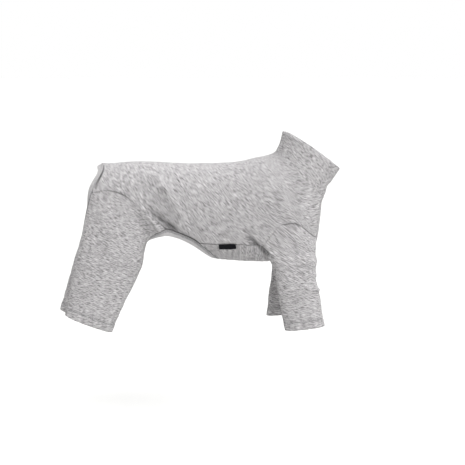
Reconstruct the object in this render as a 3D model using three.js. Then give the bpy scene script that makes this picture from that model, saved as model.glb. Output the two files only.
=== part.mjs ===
// A one-piece knitted jumpsuit for a small terrier, in the standing shape that it keeps when it is worn.
// Millimetres. +X points to the dog's head, +Y to its left and +Z up. The origin is on the inside of the
// back, at the withers, where the suit sits.
//
// The body is a tube over a fan of rings. Each ring lies in the plane of a line from the top of the back to
// the underside, and the fan turns from upright rings at the flank to leaning ones at the neck. The back and
// belly panels, the armholes and the open rump are stretches of that tube between seam lines. Sleeves and
// trouser legs run down from those same seam lines through rings of their own, so every panel meets its
// neighbour at shared points. Soft folds push the outer face in and out, and each panel is a cloth wall.
import * as THREE from "three";

// Driving sizes
const BACK_LENGTH = 270; // tail edge to withers
const CHEST_DEPTH = 168; // withers to breastbone
const CHEST_WIDTH = 126; // across the ribs
const CLOTH = 1.5; // one layer of jersey
const SEAM_CLOTH = 1; // one layer where an armhole seam presses it
const SEAM_GAP = 0.4; // between two panels along their seam

const COLLAR_HEIGHT = 43.6; // seam to rim, along the neck
const COLLAR_LEAN = 27; // degrees forward of upright
const COLLAR_LENGTH = 107; // rim, nape to throat
const COLLAR_WIDTH = 93; // rim, side to side
const COLLAR_SLOPE = 32.5; // degrees that the rim falls towards the throat
const COLLAR_LAYERS = 2; // the collar is folded double

const SLEEVE_LENGTH = 164; // top of the sleeve cap to the hem
const SLEEVE_WIDTH = 60; // front to back at the hem
const SLEEVE_OUT = 60; // centre plane to the sleeve's outer side
const SLEEVE_DEPTH = 46; // outer to inner side at the hem
const LEFT_SLEEVE_SWING = -28; // the left sleeve's hem stands this far behind the right one's
const LEFT_SLEEVE_LIFT = 15; // and this much higher

const TROUSER_LENGTH = 226; // top of the leg seam to the hem
const TROUSER_WIDTH = 100; // front to back at the crotch
const TROUSER_OUT = 64; // centre plane to the leg's outer side
const TROUSER_DEPTH = 54; // outer to inner side at the crotch
const CROTCH_SCOOP = 0.55; // how far the inner thigh's edge dips, of the way to the next ring down
const LEFT_TROUSER_SWING = -14;
const LEFT_TROUSER_LIFT = 0;

const HEM_HEIGHT = 15; // turned-up cloth at each cuff
const HEM_STEP = 1; // over which the cloth doubles at the top of the hem
const BAND_WIDTH = 10.5; // rib binding round the rump and belly opening
const BAND_THICKNESS = 2.8;
const BAND_GAP = 0.45; // from the panels' seam line to the binding
const TAIL_SLIT = 4; // gap beside the tail where the binding stands off the back
const SLIT_START = 0.12; // the slit, in shares of the tail edge's half from its middle
const SLIT_SPAN = 0.7;

const FOLD_HEIGHT = 4;
const FOLD_WIDTH = 8;

const LABEL_LENGTH = 27;
const LABEL_DROP = 9;
const LABEL_THICKNESS = 0.8;
const LABEL_CLEARANCE = 0.5; // from the seam and from the belly panel
const LABEL_RING = 6.54; // its middle, in rings of the body
const LABEL_TILT = 3; // degrees that its front end stands higher

const RIGHT = -1;
const LEFT = 1;
const HERE = new THREE.Vector3();

function table(columns, rows) {
  return rows.map((row) => Object.fromEntries(columns.map((name, i) => [name, row[i]])));
}

// The body's rings, tail to collar. topX and lowX are shares of BACK_LENGTH, topZ and lowZ of CHEST_DEPTH
// and width of CHEST_WIDTH. square is the ring's superellipse power, and taper narrows it downwards.
const BODY = table(
  ["at", "topX", "topZ", "lowX", "lowZ", "width", "square", "taper"],
  [
    [0, -0.975, -0.067, -1.11, -0.701, 0.74, 2.2, 0.05],
    [1, -0.905, -0.066, -0.985, -0.751, 0.86, 2.3, 0.05],
    [2, -0.82, -0.054, -0.855, -0.791, 0.93, 2.3, 0.08],
    [3, -0.73, -0.052, -0.725, -0.821, 0.93, 2.3, 0.12],
    [4, -0.61, -0.059, -0.595, -0.851, 0.88, 2.3, 0.16],
    [5, -0.462, -0.068, -0.45, -0.921, 0.87, 2.3, 0.2],
    [6, -0.332, -0.068, -0.314, -0.973, 0.9, 2.3, 0.22],
    [7, -0.213, -0.059, -0.166, -0.997, 0.95, 2.3, 0.24],
    [8, -0.13, -0.04, -0.018, -1.004, 1.0, 2.3, 0.24],
    [9, -0.071, -0.016, 0.13, -0.978, 1.0, 2.3, 0.24],
    [10, -0.024, -0.001, 0.249, -0.887, 0.96, 2.25, 0.22],
    [11, 0.006, 0.011, 0.293, -0.792, 0.9, 2.2, 0.18],
    [12, 0.024, 0.022, 0.305, -0.63, 0.84, 2.15, 0.12],
    [13, 0.036, 0.034, 0.314, -0.487, 0.79, 2.1, 0.06],
    [14, 0.045, 0.047, 0.323, -0.378, 0.75, 2.05, 0.0],
  ],
);
const NECK = 14;
const ARMPIT = 8;
const SLEEVE_FRONT = 11;
const SLEEVE_TOP = 9.75; // the highest place of the armhole
const GROIN = 4;
const BELLY_START = 5 + 1 / 3;

// Seam lines on the body, as the share of a ring's height at which they cross it.
const LEG_SEAM = table(["at", "drop"], [[0, 0.42], [1, 0.355], [2, 0.415], [3, 0.58], [GROIN, 0.79]]);
const FLANK_EDGE = table(["at", "drop"], [[GROIN, 0.79], [4.5, 0.81], [BELLY_START, 0.855]]);
const SIDE_SEAM = table(["at", "drop"], [[BELLY_START, 0.855], [6, 0.832], [7, 0.814], [ARMPIT, 0.838]]);
const ARMHOLE_OUTSIDE = table(
  ["at", "drop"],
  [
    [ARMPIT, 0.838],
    [8.5, 0.727],
    [9, 0.655],
    [9.5, 0.664],
    [10, 0.705],
    [10.5, 0.825],
    [SLEEVE_FRONT, 0.962],
  ],
);
const ARMHOLE_INSIDE = table(
  ["at", "drop"],
  [
    [ARMPIT, 0.838],
    [8.5, 0.935],
    [9, 0.968],
    [9.5, 0.977],
    [10, 0.98],
    [10.5, 0.978],
    [SLEEVE_FRONT, 0.962],
  ],
);
const CHEST_SEAM = table(["at", "drop"], [[SLEEVE_FRONT, 0.962], [12, 0.955], [13, 0.95], [NECK, 0.95]]);
// How far the belly panel's rear edge runs forward under the belly, in rings.
const BELLY_NOTCH = 0.85;

// Sleeve rings below the armhole. drop is a share of SLEEVE_LENGTH below the cap, rear and front of
// SLEEVE_WIDTH from the cap, tip is what the rear lies lower, out of SLEEVE_OUT and deep of SLEEVE_DEPTH.
const SLEEVE = table(
  ["drop", "rear", "front", "tip", "out", "deep"],
  [
    [0.445, -0.51, 0.63, 0.0, 0.98, 0.8],
    [0.585, -0.42, 0.655, 0.008, 1.0, 0.87],
    [0.755, -0.34, 0.75, 0.02, 1.0, 0.95],
    [0.89, -0.255, 0.8, 0.04, 1.0, 1.0],
    [1.0, -0.187, 0.85, 0.046, 1.0, 1.0],
  ],
);
// Trouser rings from the crotch down, in the same way. Here the front lies lower than the rear.
const TROUSER = table(
  ["drop", "rear", "front", "tip", "out", "deep"],
  [
    [0.379, -0.435, 0.575, -0.07, 1.0, 1.0],
    [0.555, -0.515, 0.51, -0.11, 1.0, 0.98],
    [0.703, -0.575, 0.345, -0.12, 1.0, 0.94],
    [0.83, -0.63, 0.2, -0.12, 1.0, 0.9],
    [1.0, -0.7, 0.035, -0.118, 1.0, 0.88],
  ],
);
const TUBE_SQUARE = 2.25;

// Folds: ridges with a height above 0 and grooves below it, from one point of the side view to another.
// x is a share of BACK_LENGTH, z of CHEST_DEPTH, high of FOLD_HEIGHT and wide of FOLD_WIDTH.
const FOLDS = table(
  ["side", "x0", "z0", "x1", "z1", "high", "wide"],
  [
    [RIGHT, -0.82, -0.37, -0.6, -0.68, 0.9, 0.7],
    [RIGHT, -0.72, -0.42, -0.53, -0.71, -1.2, 0.8],
    [RIGHT, -0.76, -0.5, -0.69, -0.68, -0.9, 0.8],
    [RIGHT, -0.71, -0.22, -0.54, -0.55, -0.6, 1.8],
    [RIGHT, -0.65, -0.18, -0.48, -0.55, 0.6, 0.8],
    [RIGHT, -0.49, -0.57, -0.41, -0.72, 0.5, 0.8],
    [RIGHT, -0.49, -0.68, -0.43, -0.77, -0.8, 0.7],
    [RIGHT, -0.11, -0.7, -0.045, -0.84, -0.9, 0.7],
    [RIGHT, 0.05, -0.38, -0.01, -0.64, -0.5, 1.4],
    [RIGHT, 0.19, -0.24, 0.16, -0.5, -0.4, 1.4],
    [LEFT, -0.8, -0.36, -0.59, -0.7, 0.8, 0.8],
    [LEFT, -0.7, -0.4, -0.52, -0.72, -1.1, 0.9],
    [LEFT, -0.6, -0.16, -0.45, -0.52, 0.6, 0.9],
    [LEFT, -0.12, -0.68, -0.05, -0.84, -0.9, 0.7],
    [LEFT, 0.06, -0.36, 0.0, -0.62, -0.6, 1.4],
    [RIGHT, 0.33, -0.94, 0.19, -0.86, -0.6, 0.8],
    [RIGHT, 0.33, -1.2, 0.2, -1.14, 0.6, 0.8],
    [LEFT, 0.2, -0.98, 0.06, -0.9, -0.6, 0.8],
    [RIGHT, -0.72, -1.12, -0.92, -1.0, -0.5, 1.2],
    [LEFT, -0.74, -1.15, -0.95, -1.0, -0.6, 1.2],
  ],
);

// How finely the panels are cut, in steps.
const STEPS_PER_RING = 3;
const STEPS_PER_NECK_RING = 2;
const BACK_STEPS = 28;
const BELLY_STEPS = 8;
const COLLAR_ROWS = 5;
const INNER_LEG_STEPS = 10;
const APRON_ROWS = 6;
const TUBE_ROWS = 7;
const SLEEVE_ROWS = 10;

// A smooth curve through a table: a cubic between rows, whose slope at a row is that of its neighbours.
function read(rows, key, at) {
  const last = rows.length - 1;
  let i = 0;
  while (i < last - 1 && at > rows[i + 1].at) i++;
  const slope = (k) => {
    const before = rows[Math.max(k - 1, 0)];
    const after = rows[Math.min(k + 1, last)];
    return (after[key] - before[key]) / (after.at - before.at);
  };
  const span = rows[i + 1].at - rows[i].at;
  const t = (at - rows[i].at) / span;
  return hermite(rows[i][key], rows[i + 1][key], slope(i) * span, slope(i + 1) * span, t);
}

function hermite(a, b, slopeA, slopeB, t) {
  const s = t * t * (3 - 2 * t);
  return a + (b - a) * s + slopeA * t * (1 - t) * (1 - t) - slopeB * t * t * (1 - t);
}

const power = (x, p) => Math.sign(x) * Math.abs(x) ** p;
const smoothstep = (t) => THREE.MathUtils.smoothstep(t, 0, 1);
const steps = (n) => Array.from({ length: n + 1 }, (_, i) => i / n);

// The body's outer face without its folds. turn is 0 along the back and half a circle under the belly.
function bodyPoint(at, turn) {
  const ring = Object.fromEntries(Object.keys(BODY[0]).map((key) => [key, read(BODY, key, at)]));
  const down = (1 - power(Math.cos(turn), 2 / ring.square)) / 2;
  const width = (CHEST_WIDTH / 2) * ring.width * (1 + ring.taper * (0.45 - down));
  return new THREE.Vector3(
    BACK_LENGTH * THREE.MathUtils.lerp(ring.topX, ring.lowX, down),
    width * power(Math.sin(turn), 2 / ring.square),
    CHEST_DEPTH * THREE.MathUtils.lerp(ring.topZ, ring.lowZ, down),
  );
}

// The turn at which a ring has dropped that share of its height.
function turnAt(at, drop) {
  return Math.acos(power(1 - 2 * drop, read(BODY, "square", at) / 2));
}

const NUDGE = 1e-3;
function bodyNormal(at, turn) {
  const alongBody = bodyPoint(at + NUDGE, turn).sub(bodyPoint(at - NUDGE, turn));
  const roundBody = bodyPoint(at, turn + NUDGE).sub(bodyPoint(at, turn - NUDGE));
  return alongBody.cross(roundBody).normalize();
}

// How far the folds push the cloth out at a point, in mm.
function relief(point) {
  let push = 0;
  for (const fold of FOLDS) {
    if (fold.side * point.y < 0) continue;
    const x = fold.x0 * BACK_LENGTH;
    const z = fold.z0 * CHEST_DEPTH;
    const dx = fold.x1 * BACK_LENGTH - x;
    const dz = fold.z1 * CHEST_DEPTH - z;
    const along = ((point.x - x) * dx + (point.z - z) * dz) / (dx * dx + dz * dz);
    const share = THREE.MathUtils.clamp(along, 0, 1);
    const away = Math.hypot(point.x - x - share * dx, point.z - z - share * dz) / (fold.wide * FOLD_WIDTH);
    push += fold.high * FOLD_HEIGHT * Math.exp(-away * away);
  }
  return push;
}

const placeKey = (point) => point.toArray().map((x) => x.toFixed(4)).join();

// One panel: patches are grids of its outer face's points, and equal points of two patches are one.
class Panel {
  constructor(patches, normals, side = RIGHT) {
    this.points = [];
    this.known = new Map();
    this.grids = patches.map((grid) => grid.map((row) => row.map((point) => this.add(point))));
    this.faces = this.grids.flatMap((grid) => splitGrid(grid, side));
    this.normals = this.vertexNormals();
    this.walls = this.points.map(() => CLOTH);
    const seams = normals
      .map(([point, normal, wall = CLOTH]) => [this.known.get(placeKey(point)), normal, wall])
      .filter(([vertex]) => vertex !== undefined);
    for (const [vertex, normal] of seams) this.normals[vertex] = normal;
    this.outer = this.points.map((point, i) =>
      point.clone().addScaledVector(this.normals[i], relief(point)),
    );
    for (const [vertex, , wall] of seams) this.walls[vertex] = wall;
  }

  add(point) {
    const key = placeKey(point);
    if (!this.known.has(key)) this.known.set(key, this.points.push(point) - 1);
    return this.known.get(key);
  }

  vertexNormals() {
    const sums = this.points.map(() => new THREE.Vector3());
    for (const face of this.faces) {
      const [a, b, c] = face.map((i) => this.points[i]);
      const area = b.clone().sub(a).cross(HERE.copy(c).sub(a));
      for (const i of face) sums[i].add(area);
    }
    return sums.map((sum) => sum.normalize());
  }

  // Draws an edge back from its seam, towards the vertices beside it.
  drawBack(edge, beside, distance) {
    edge.forEach((vertex, k) => {
      const towards = this.outer[beside[k]].clone().sub(this.outer[vertex]).normalize();
      this.outer[vertex].addScaledVector(towards, typeof distance === "number" ? distance : distance[k]);
    });
  }

  // The closed cloth wall: outer face, inner face, and an edge wall wherever the face ends.
  geometry() {
    const inner = this.outer.map((point, i) =>
      point.clone().addScaledVector(this.normals[i], -this.walls[i]),
    );
    const count = inner.length;
    const index = this.faces.flatMap(([a, b, c]) => [a, b, c, c + count, b + count, a + count]);
    const halves = new Set(this.faces.flatMap(([a, b, c]) => [`${a},${b}`, `${b},${c}`, `${c},${a}`]));
    for (const half of halves) {
      const [a, b] = half.split(",").map(Number);
      if (!halves.has(`${b},${a}`)) index.push(b, a, a + count, b, a + count, b + count);
    }
    return solidGeometry([...this.outer, ...inner], index);
  }
}

// Cuts a grid's squares into triangles, along mirrored diagonals on the left side.
function splitGrid(grid, side) {
  return grid.slice(1).flatMap((row, r) =>
    row.slice(1).flatMap((corner, c) => {
      const [above, next, below] = [grid[r][c], grid[r][c + 1], row[c]];
      return side === RIGHT
        ? [[above, below, corner], [above, corner, next]]
        : [[above, below, next], [next, below, corner]];
    }),
  );
}

function solidGeometry(points, index) {
  const geometry = new THREE.BufferGeometry().setFromPoints(points);
  geometry.setIndex(index);
  geometry.computeVertexNormals();
  return geometry;
}

const jersey = (name) =>
  new THREE.MeshStandardMaterial({
    name,
    color: 0xb4b4b6,
    roughness: 0.95,
    metalness: 0,
    side: THREE.DoubleSide,
  });
const ribKnit = new THREE.MeshStandardMaterial({ color: 0xbcbfc2, roughness: 0.9, metalness: 0 });
const wovenLabel = new THREE.MeshStandardMaterial({ color: 0x12131c, roughness: 0.6, metalness: 0 });

function mesh(name, geometry, material) {
  const made = new THREE.Mesh(geometry, material);
  made.name = name;
  return made;
}

// The rings at which the panels are cut, tail to collar.
const CUTS = [
  ...steps(SLEEVE_FRONT * STEPS_PER_RING).map((share) => share * SLEEVE_FRONT),
  ...steps((NECK - SLEEVE_FRONT) * STEPS_PER_NECK_RING)
    .slice(1)
    .map((share) => SLEEVE_FRONT + share * (NECK - SLEEVE_FRONT)),
];
const cutsBetween = (from, to) => CUTS.filter((at) => at > from - NUDGE && at < to + NUDGE);
const firstCut = (at) => CUTS.findIndex((cut) => cut > at - NUDGE);

// The back panel's lower edge on a ring, from the leg seam forward to the collar.
function backEdge(at) {
  const seams = [
    [GROIN, LEG_SEAM],
    [BELLY_START, FLANK_EDGE],
    [ARMPIT, SIDE_SEAM],
    [SLEEVE_FRONT, ARMHOLE_OUTSIDE],
  ];
  const [, rows] = seams.find(([end]) => at < end + NUDGE) ?? [NECK, CHEST_SEAM];
  return turnAt(at, read(rows, "drop", at));
}

// The belly panel's side edge on a ring.
function bellyEdge(at) {
  const inArmhole = at > ARMPIT && at < SLEEVE_FRONT;
  return inArmhole ? turnAt(at, read(ARMHOLE_INSIDE, "drop", at)) : backEdge(at);
}

// The belly panel's rear edge is notched: towards its middle the first rings move forward.
function bellyRing(at, across) {
  const reach = smoothstep((ARMPIT - at) / (ARMPIT - BELLY_START));
  return at + BELLY_NOTCH * reach * (1 - across * across);
}

const bodyGrid = (rings, acrossSteps, ringAt, turnOf) =>
  rings.map((at) =>
    steps(acrossSteps).map((share) => {
      const across = 2 * share - 1;
      return [ringAt(at, across), turnOf(at, across)];
    }),
  );

function bodyPanel(places, armholes) {
  const points = places.map((row) => row.map(([at, turn]) => bodyPoint(at, turn)));
  const normals = places.flatMap((row, r) =>
    row.map(([at, turn], c) => [points[r][c], bodyNormal(at, turn)]),
  );
  return new Panel([points], [...normals, ...armholes]);
}

const column = (grid, c) => grid.map((row) => row.at(c));

function backPanel(armholes) {
  const places = bodyGrid(CUTS, BACK_STEPS, (at) => at, (at, across) => across * backEdge(at));
  const panel = bodyPanel(places, armholes);
  const [grid] = panel.grids;
  panel.drawBack(column(grid, 0), column(grid, 1), SEAM_GAP / 2);
  panel.drawBack(column(grid, -1), column(grid, -2), SEAM_GAP / 2);
  // Beside the tail the edge is drawn back further, in a slit on each side.
  const slit = places[0].map(([, turn]) => {
    const across = Math.abs(turn) / backEdge(0);
    return Math.max(0, Math.sin((Math.PI * (across - SLIT_START)) / SLIT_SPAN));
  });
  panel.drawBack(grid[0], grid[1], slit.map((share) => SEAM_GAP / 2 + TAIL_SLIT * share));
  panel.drawBack(grid.at(-1), grid.at(-2), SEAM_GAP / 2);
  return panel;
}

function bellyPanel(armholes) {
  const places = bodyGrid(
    cutsBetween(BELLY_START, NECK),
    BELLY_STEPS,
    bellyRing,
    (at, across) => Math.PI + across * (Math.PI - bellyEdge(at)),
  );
  const panel = bodyPanel(places, armholes);
  const [grid] = panel.grids;
  panel.drawBack(column(grid, 0), column(grid, 1), SEAM_GAP / 2);
  panel.drawBack(column(grid, -1), column(grid, -2), SEAM_GAP / 2);
  panel.drawBack(grid[0], grid[1], SEAM_GAP / 2);
  panel.drawBack(grid.at(-1), grid.at(-2), SEAM_GAP / 2);
  return panel;
}

// The collar is a double layer from the neck seam up to a round folded rim.
function collarGeometry() {
  const backHalf = steps(BACK_STEPS).map((share) => (2 * share - 1) * backEdge(NECK));
  const throat = steps(BELLY_STEPS).map((share) => Math.PI + (2 * share - 1) * (Math.PI - bellyEdge(NECK)));
  const turns = [...backHalf, ...throat.slice(1, -1)];
  const lean = THREE.MathUtils.degToRad(COLLAR_LEAN);
  const slope = THREE.MathUtils.degToRad(COLLAR_SLOPE);
  const seamMiddle = bodyPoint(NECK, 0).add(bodyPoint(NECK, Math.PI)).multiplyScalar(0.5);
  const upright = new THREE.Vector3(Math.sin(lean), 0, Math.cos(lean));
  const rimMiddle = seamMiddle.addScaledVector(upright, COLLAR_HEIGHT);
  const toThroat = new THREE.Vector3(Math.cos(slope), 0, -Math.sin(slope));
  const wall = COLLAR_LAYERS * CLOTH;
  const rows = [...steps(COLLAR_ROWS)];
  const rings = turns.map((turn) => {
    const seam = bodyPoint(NECK, turn);
    seam.addScaledVector(bodyNormal(NECK, turn), relief(seam));
    const rim = rimMiddle
      .clone()
      .addScaledVector(toThroat, (-COLLAR_LENGTH / 2) * Math.cos(turn))
      .add(new THREE.Vector3(0, (COLLAR_WIDTH / 2) * Math.sin(turn), 0));
    const up = rim.clone().sub(seam).normalize();
    const around = new THREE.Vector3(0, Math.cos(turn) * COLLAR_WIDTH, 0);
    around.addScaledVector(toThroat, Math.sin(turn) * COLLAR_LENGTH);
    const out = up.clone().cross(around).normalize();
    const seamOut = bodyNormal(NECK, turn);
    const outer = rows.map((share) =>
      seam.clone().lerp(rim, share).addScaledVector(up, ((1 - share) * SEAM_GAP) / 2),
    );
    const inner = outer.map((point, i) => {
      const direction = seamOut.clone().lerp(out, Math.min(1, rows[i] * 3)).normalize();
      return point.clone().addScaledVector(direction, -wall);
    });
    const crest = rim.clone().addScaledVector(out, -wall / 2).addScaledVector(up, wall / 2);
    return [...inner, crest, ...outer.reverse()];
  });
  return ringSolid(rings);
}

// A closed ring of closed sections.
function ringSolid(sections) {
  const count = sections[0].length;
  const index = sections.flatMap((_, s) =>
    sections[0].flatMap((_, k) => {
      const next = (s + 1) % sections.length;
      const [a, b] = [s * count + k, s * count + ((k + 1) % count)];
      const [c, d] = [next * count + k, next * count + ((k + 1) % count)];
      return [a, c, d, a, d, b];
    }),
  );
  return solidGeometry(sections.flat(), index);
}

// A smooth line through points, leaving the first one along a given slope, cut at given distances from
// its start, or from its end where they are below 0.
function columnLine(points, firstSlope, cutsOf) {
  const spans = points.slice(1).map((point, i) => point.distanceTo(points[i]));
  const slopes = points.map((point, i) => {
    if (i === 0) return firstSlope;
    const before = point.clone().sub(points[i - 1]).divideScalar(spans[i - 1]);
    if (i === points.length - 1) return before;
    const after = points[i + 1].clone().sub(point).divideScalar(spans[i]);
    const weighed = before.multiplyScalar(spans[i]).addScaledVector(after, spans[i - 1]);
    return weighed.divideScalar(spans[i] + spans[i - 1]);
  });
  const dense = spans.flatMap((span, i) =>
    steps(12)
      .slice(i ? 1 : 0)
      .map((t) => new THREE.Vector3(...["x", "y", "z"].map((axis) =>
        hermite(points[i][axis], points[i + 1][axis], slopes[i][axis] * span, slopes[i + 1][axis] * span, t)))),
  );
  const run = [0];
  for (let i = 1; i < dense.length; i++) run.push(run[i - 1] + dense[i].distanceTo(dense[i - 1]));
  return cutsOf(run.at(-1), run[12]).map((distance) => {
    let i = 0;
    while (i < dense.length - 2 && distance > run[i + 1]) i++;
    return dense[i].clone().lerp(dense[i + 1], (distance - run[i]) / (run[i + 1] - run[i]));
  });
}

// A point of a leg ring. around is 0 on the outer side, a quarter turn at the front and half a turn inside.
function legPoint(row, around, leg) {
  const { side, top, length, width, out, depth, swing, lift } = leg;
  const below = (row.drop - leg.rings[0].drop) / (1 - leg.rings[0].drop);
  const middle = (row.rear + row.front) / 2;
  const half = (row.front - row.rear) / 2;
  const forward = power(Math.sin(around), 2 / TUBE_SQUARE);
  const inward = (1 - power(Math.cos(around), 2 / TUBE_SQUARE)) / 2;
  return new THREE.Vector3(
    top.x + width * (middle + half * forward) + swing * below,
    side * (out * row.out - depth * row.deep * inward),
    top.z - length * (row.drop + (row.tip * (1 - forward)) / 2) + lift * below,
  );
}

// Distances along a column: even rows down to the hem's upper edge, then the turned-up hem.
const hemCuts = (rows) => (length) => [
  ...steps(rows).map((share) => share * (length - HEM_HEIGHT - HEM_STEP)),
  length - HEM_HEIGHT,
  length,
];

// The hem is two layers of cloth, the second one inside.
function thickenHem(panel, grid) {
  for (const row of grid.slice(-2)) for (const vertex of row) panel.walls[vertex] = 2 * CLOTH;
}

function sleevePanel(side) {
  const cap = bodyPoint(SLEEVE_TOP, turnAt(SLEEVE_TOP, read(ARMHOLE_OUTSIDE, "drop", SLEEVE_TOP)));
  const leg = {
    side,
    rings: SLEEVE,
    top: cap,
    length: SLEEVE_LENGTH,
    width: SLEEVE_WIDTH,
    out: SLEEVE_OUT,
    depth: SLEEVE_DEPTH,
    swing: side === LEFT ? LEFT_SLEEVE_SWING : 0,
    lift: side === LEFT ? LEFT_SLEEVE_LIFT : 0,
  };
  const cuts = cutsBetween(ARMPIT, SLEEVE_FRONT);
  const half = cuts.length - 1;
  const outside = cuts.map((at) => [at, turnAt(at, read(ARMHOLE_OUTSIDE, "drop", at)), 1]);
  const inside = cuts.map((at) => [at, turnAt(at, read(ARMHOLE_INSIDE, "drop", at)), 0]).reverse();
  const loop = [...outside, ...inside.slice(1, -1)];
  const seam = [];
  const columns = loop.map(([at, turn, isOutside], j) => {
    const around = (j / half - 0.5) * Math.PI;
    const start = bodyPoint(at, side * turn);
    const points = [start, ...SLEEVE.map((row) => legPoint(row, around, leg))];
    const straight = points[1].clone().sub(start).normalize();
    const downBody = bodyPoint(at, side * (turn + NUDGE)).sub(start).normalize();
    const flush = isOutside * Math.cos(around);
    const slope = straight.lerp(downBody, flush).normalize();
    // The seam's cloth faces halfway between the body's side and the sleeve's.
    const outwards = points[1].clone().sub(legPoint(SLEEVE[0], around + Math.PI, leg));
    outwards.addScaledVector(slope, -outwards.dot(slope)).normalize();
    seam.push([start, bodyNormal(at, side * turn).add(outwards).normalize(), SEAM_CLOTH]);
    return columnLine(points, slope, hemCuts(SLEEVE_ROWS));
  });
  const ring = [...columns, columns[0]];
  const rows = columns[0].map((_, r) => ring.map((line) => line[r]));
  const panel = new Panel([side === RIGHT ? rows : rows.map((row) => [...row].reverse())], seam, side);
  const [grid] = panel.grids;
  panel.drawBack(grid[0].slice(1), grid[1].slice(1), SEAM_GAP / 2);
  thickenHem(panel, grid);
  panel.seam = seam;
  return panel;
}

// A trouser leg: a tube below the crotch, and above it an apron over the outer thigh up to the leg seam.
function trouserPanel(side) {
  const seamTop = bodyPoint(1, turnAt(1, read(LEG_SEAM, "drop", 1)));
  const leg = {
    side,
    rings: TROUSER,
    top: seamTop,
    length: TROUSER_LENGTH,
    width: TROUSER_WIDTH,
    out: TROUSER_OUT,
    depth: TROUSER_DEPTH,
    swing: side === LEFT ? LEFT_TROUSER_SWING : 0,
    lift: side === LEFT ? LEFT_TROUSER_LIFT : 0,
  };
  const cuts = cutsBetween(0, GROIN);
  const last = cuts.length - 1;
  const seam = [];
  const rowsBelow = (length, apron) => {
    const tube = hemCuts(TUBE_ROWS)(length - apron);
    const above = steps(APRON_ROWS).slice(0, -1);
    return [...above.map((share) => share * apron), ...tube.map((at) => at + apron)];
  };
  const outer = cuts.map((at, j) => {
    const around = (j / last - 0.5) * Math.PI;
    const turn = backEdge(at);
    const start = bodyPoint(at, side * turn);
    seam.push([start, bodyNormal(at, side * turn)]);
    const points = [start, ...TROUSER.map((row) => legPoint(row, around, leg))];
    const downBody = bodyPoint(at, side * (turn + NUDGE)).sub(start).normalize();
    // At the groin the front edge leaves the seam backwards, and curves down into the leg.
    const backwards = new THREE.Vector3(-1, 0, -0.1);
    return columnLine(points, downBody.lerp(backwards, (j / last) ** 4).normalize(), rowsBelow);
  });
  const inner = steps(INNER_LEG_STEPS).slice(1, -1).map((share) => {
    const points = TROUSER.map((row) => legPoint(row, (0.5 + share) * Math.PI, leg));
    points[0].lerp(points[1], CROTCH_SCOOP * Math.sin(Math.PI * share));
    return columnLine(points, points[1].clone().sub(points[0]).normalize(), hemCuts(TUBE_ROWS));
  });
  const flip = (rows) => (side === RIGHT ? rows : rows.map((row) => [...row].reverse()));
  const outerRows = outer[0].map((_, r) => outer.map((line) => line[r]));
  const below = (line) => line.slice(APRON_ROWS);
  const innerColumns = [below(outer.at(-1)), ...inner, below(outer[0])];
  const innerRows = innerColumns[0].map((_, r) => innerColumns.map((line) => line[r]));
  const panel = new Panel([flip(outerRows), flip(innerRows)], seam, side);
  const [outerGrid, innerGrid] = panel.grids;
  panel.drawBack(outerGrid[0], outerGrid[1], SEAM_GAP / 2);
  for (const grid of panel.grids) thickenHem(panel, grid);
  panel.edges = openEdges(flip(outerGrid), flip(innerGrid));
  for (const [edge, beside] of panel.edges) panel.drawBack([edge], [beside], SEAM_GAP / 2);
  return panel;
}

// The trouser leg's bound edge, from the leg seam at the rump round the crotch to the leg seam at the
// groin, as pairs of an edge vertex and the vertex beside it.
function openEdges(outerGrid, innerGrid) {
  const rump = outerGrid.slice(0, APRON_ROWS + 1).map((row) => [row[0], row[1]]);
  const crotch = innerGrid[0].map((vertex, c) => [vertex, innerGrid[1][c]]).reverse();
  const groin = outerGrid.slice(0, APRON_ROWS + 1).map((row) => [row.at(-1), row.at(-2)]).reverse();
  return [...rump.slice(1, -1), ...crotch, ...groin.slice(1, -1)];
}

// The rib binding runs all the way round the rump and belly opening, on the panels' open edges.
function bindingGeometry(back, belly, trousers) {
  const pick = (panel, pairs) =>
    pairs.map(([edge, beside]) => ({
      at: panel.points[edge].clone().addScaledVector(panel.normals[edge], relief(panel.points[edge])),
      out: panel.normals[edge],
      onward: panel.points[edge].clone().sub(panel.points[beside]).normalize(),
    }));
  const [backGrid] = back.grids;
  const [bellyGrid] = belly.grids;
  const flank = (c, beside) => {
    const rows = backGrid.slice(firstCut(GROIN), firstCut(BELLY_START) + 1);
    return rows.map((row) => [row.at(c), row.at(beside)]);
  };
  const tail = backGrid[0].map((vertex, c) => [vertex, backGrid[1][c]]);
  const underBelly = bellyGrid[0].map((vertex, c) => [vertex, bellyGrid[1][c]]);
  const near = [...pick(trousers[RIGHT], trousers[RIGHT].edges), ...pick(back, flank(0, 1)).slice(0, -1)];
  const far = [...pick(trousers[LEFT], trousers[LEFT].edges), ...pick(back, flank(-1, -2)).slice(0, -1)];
  const loop = [
    ...pick(back, tail).reverse(),
    ...near,
    ...pick(belly, underBelly).reverse(),
    ...far.reverse(),
  ];
  return ringSolid(loop.map((_, i) => bindingSection(loop, i)));
}

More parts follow.
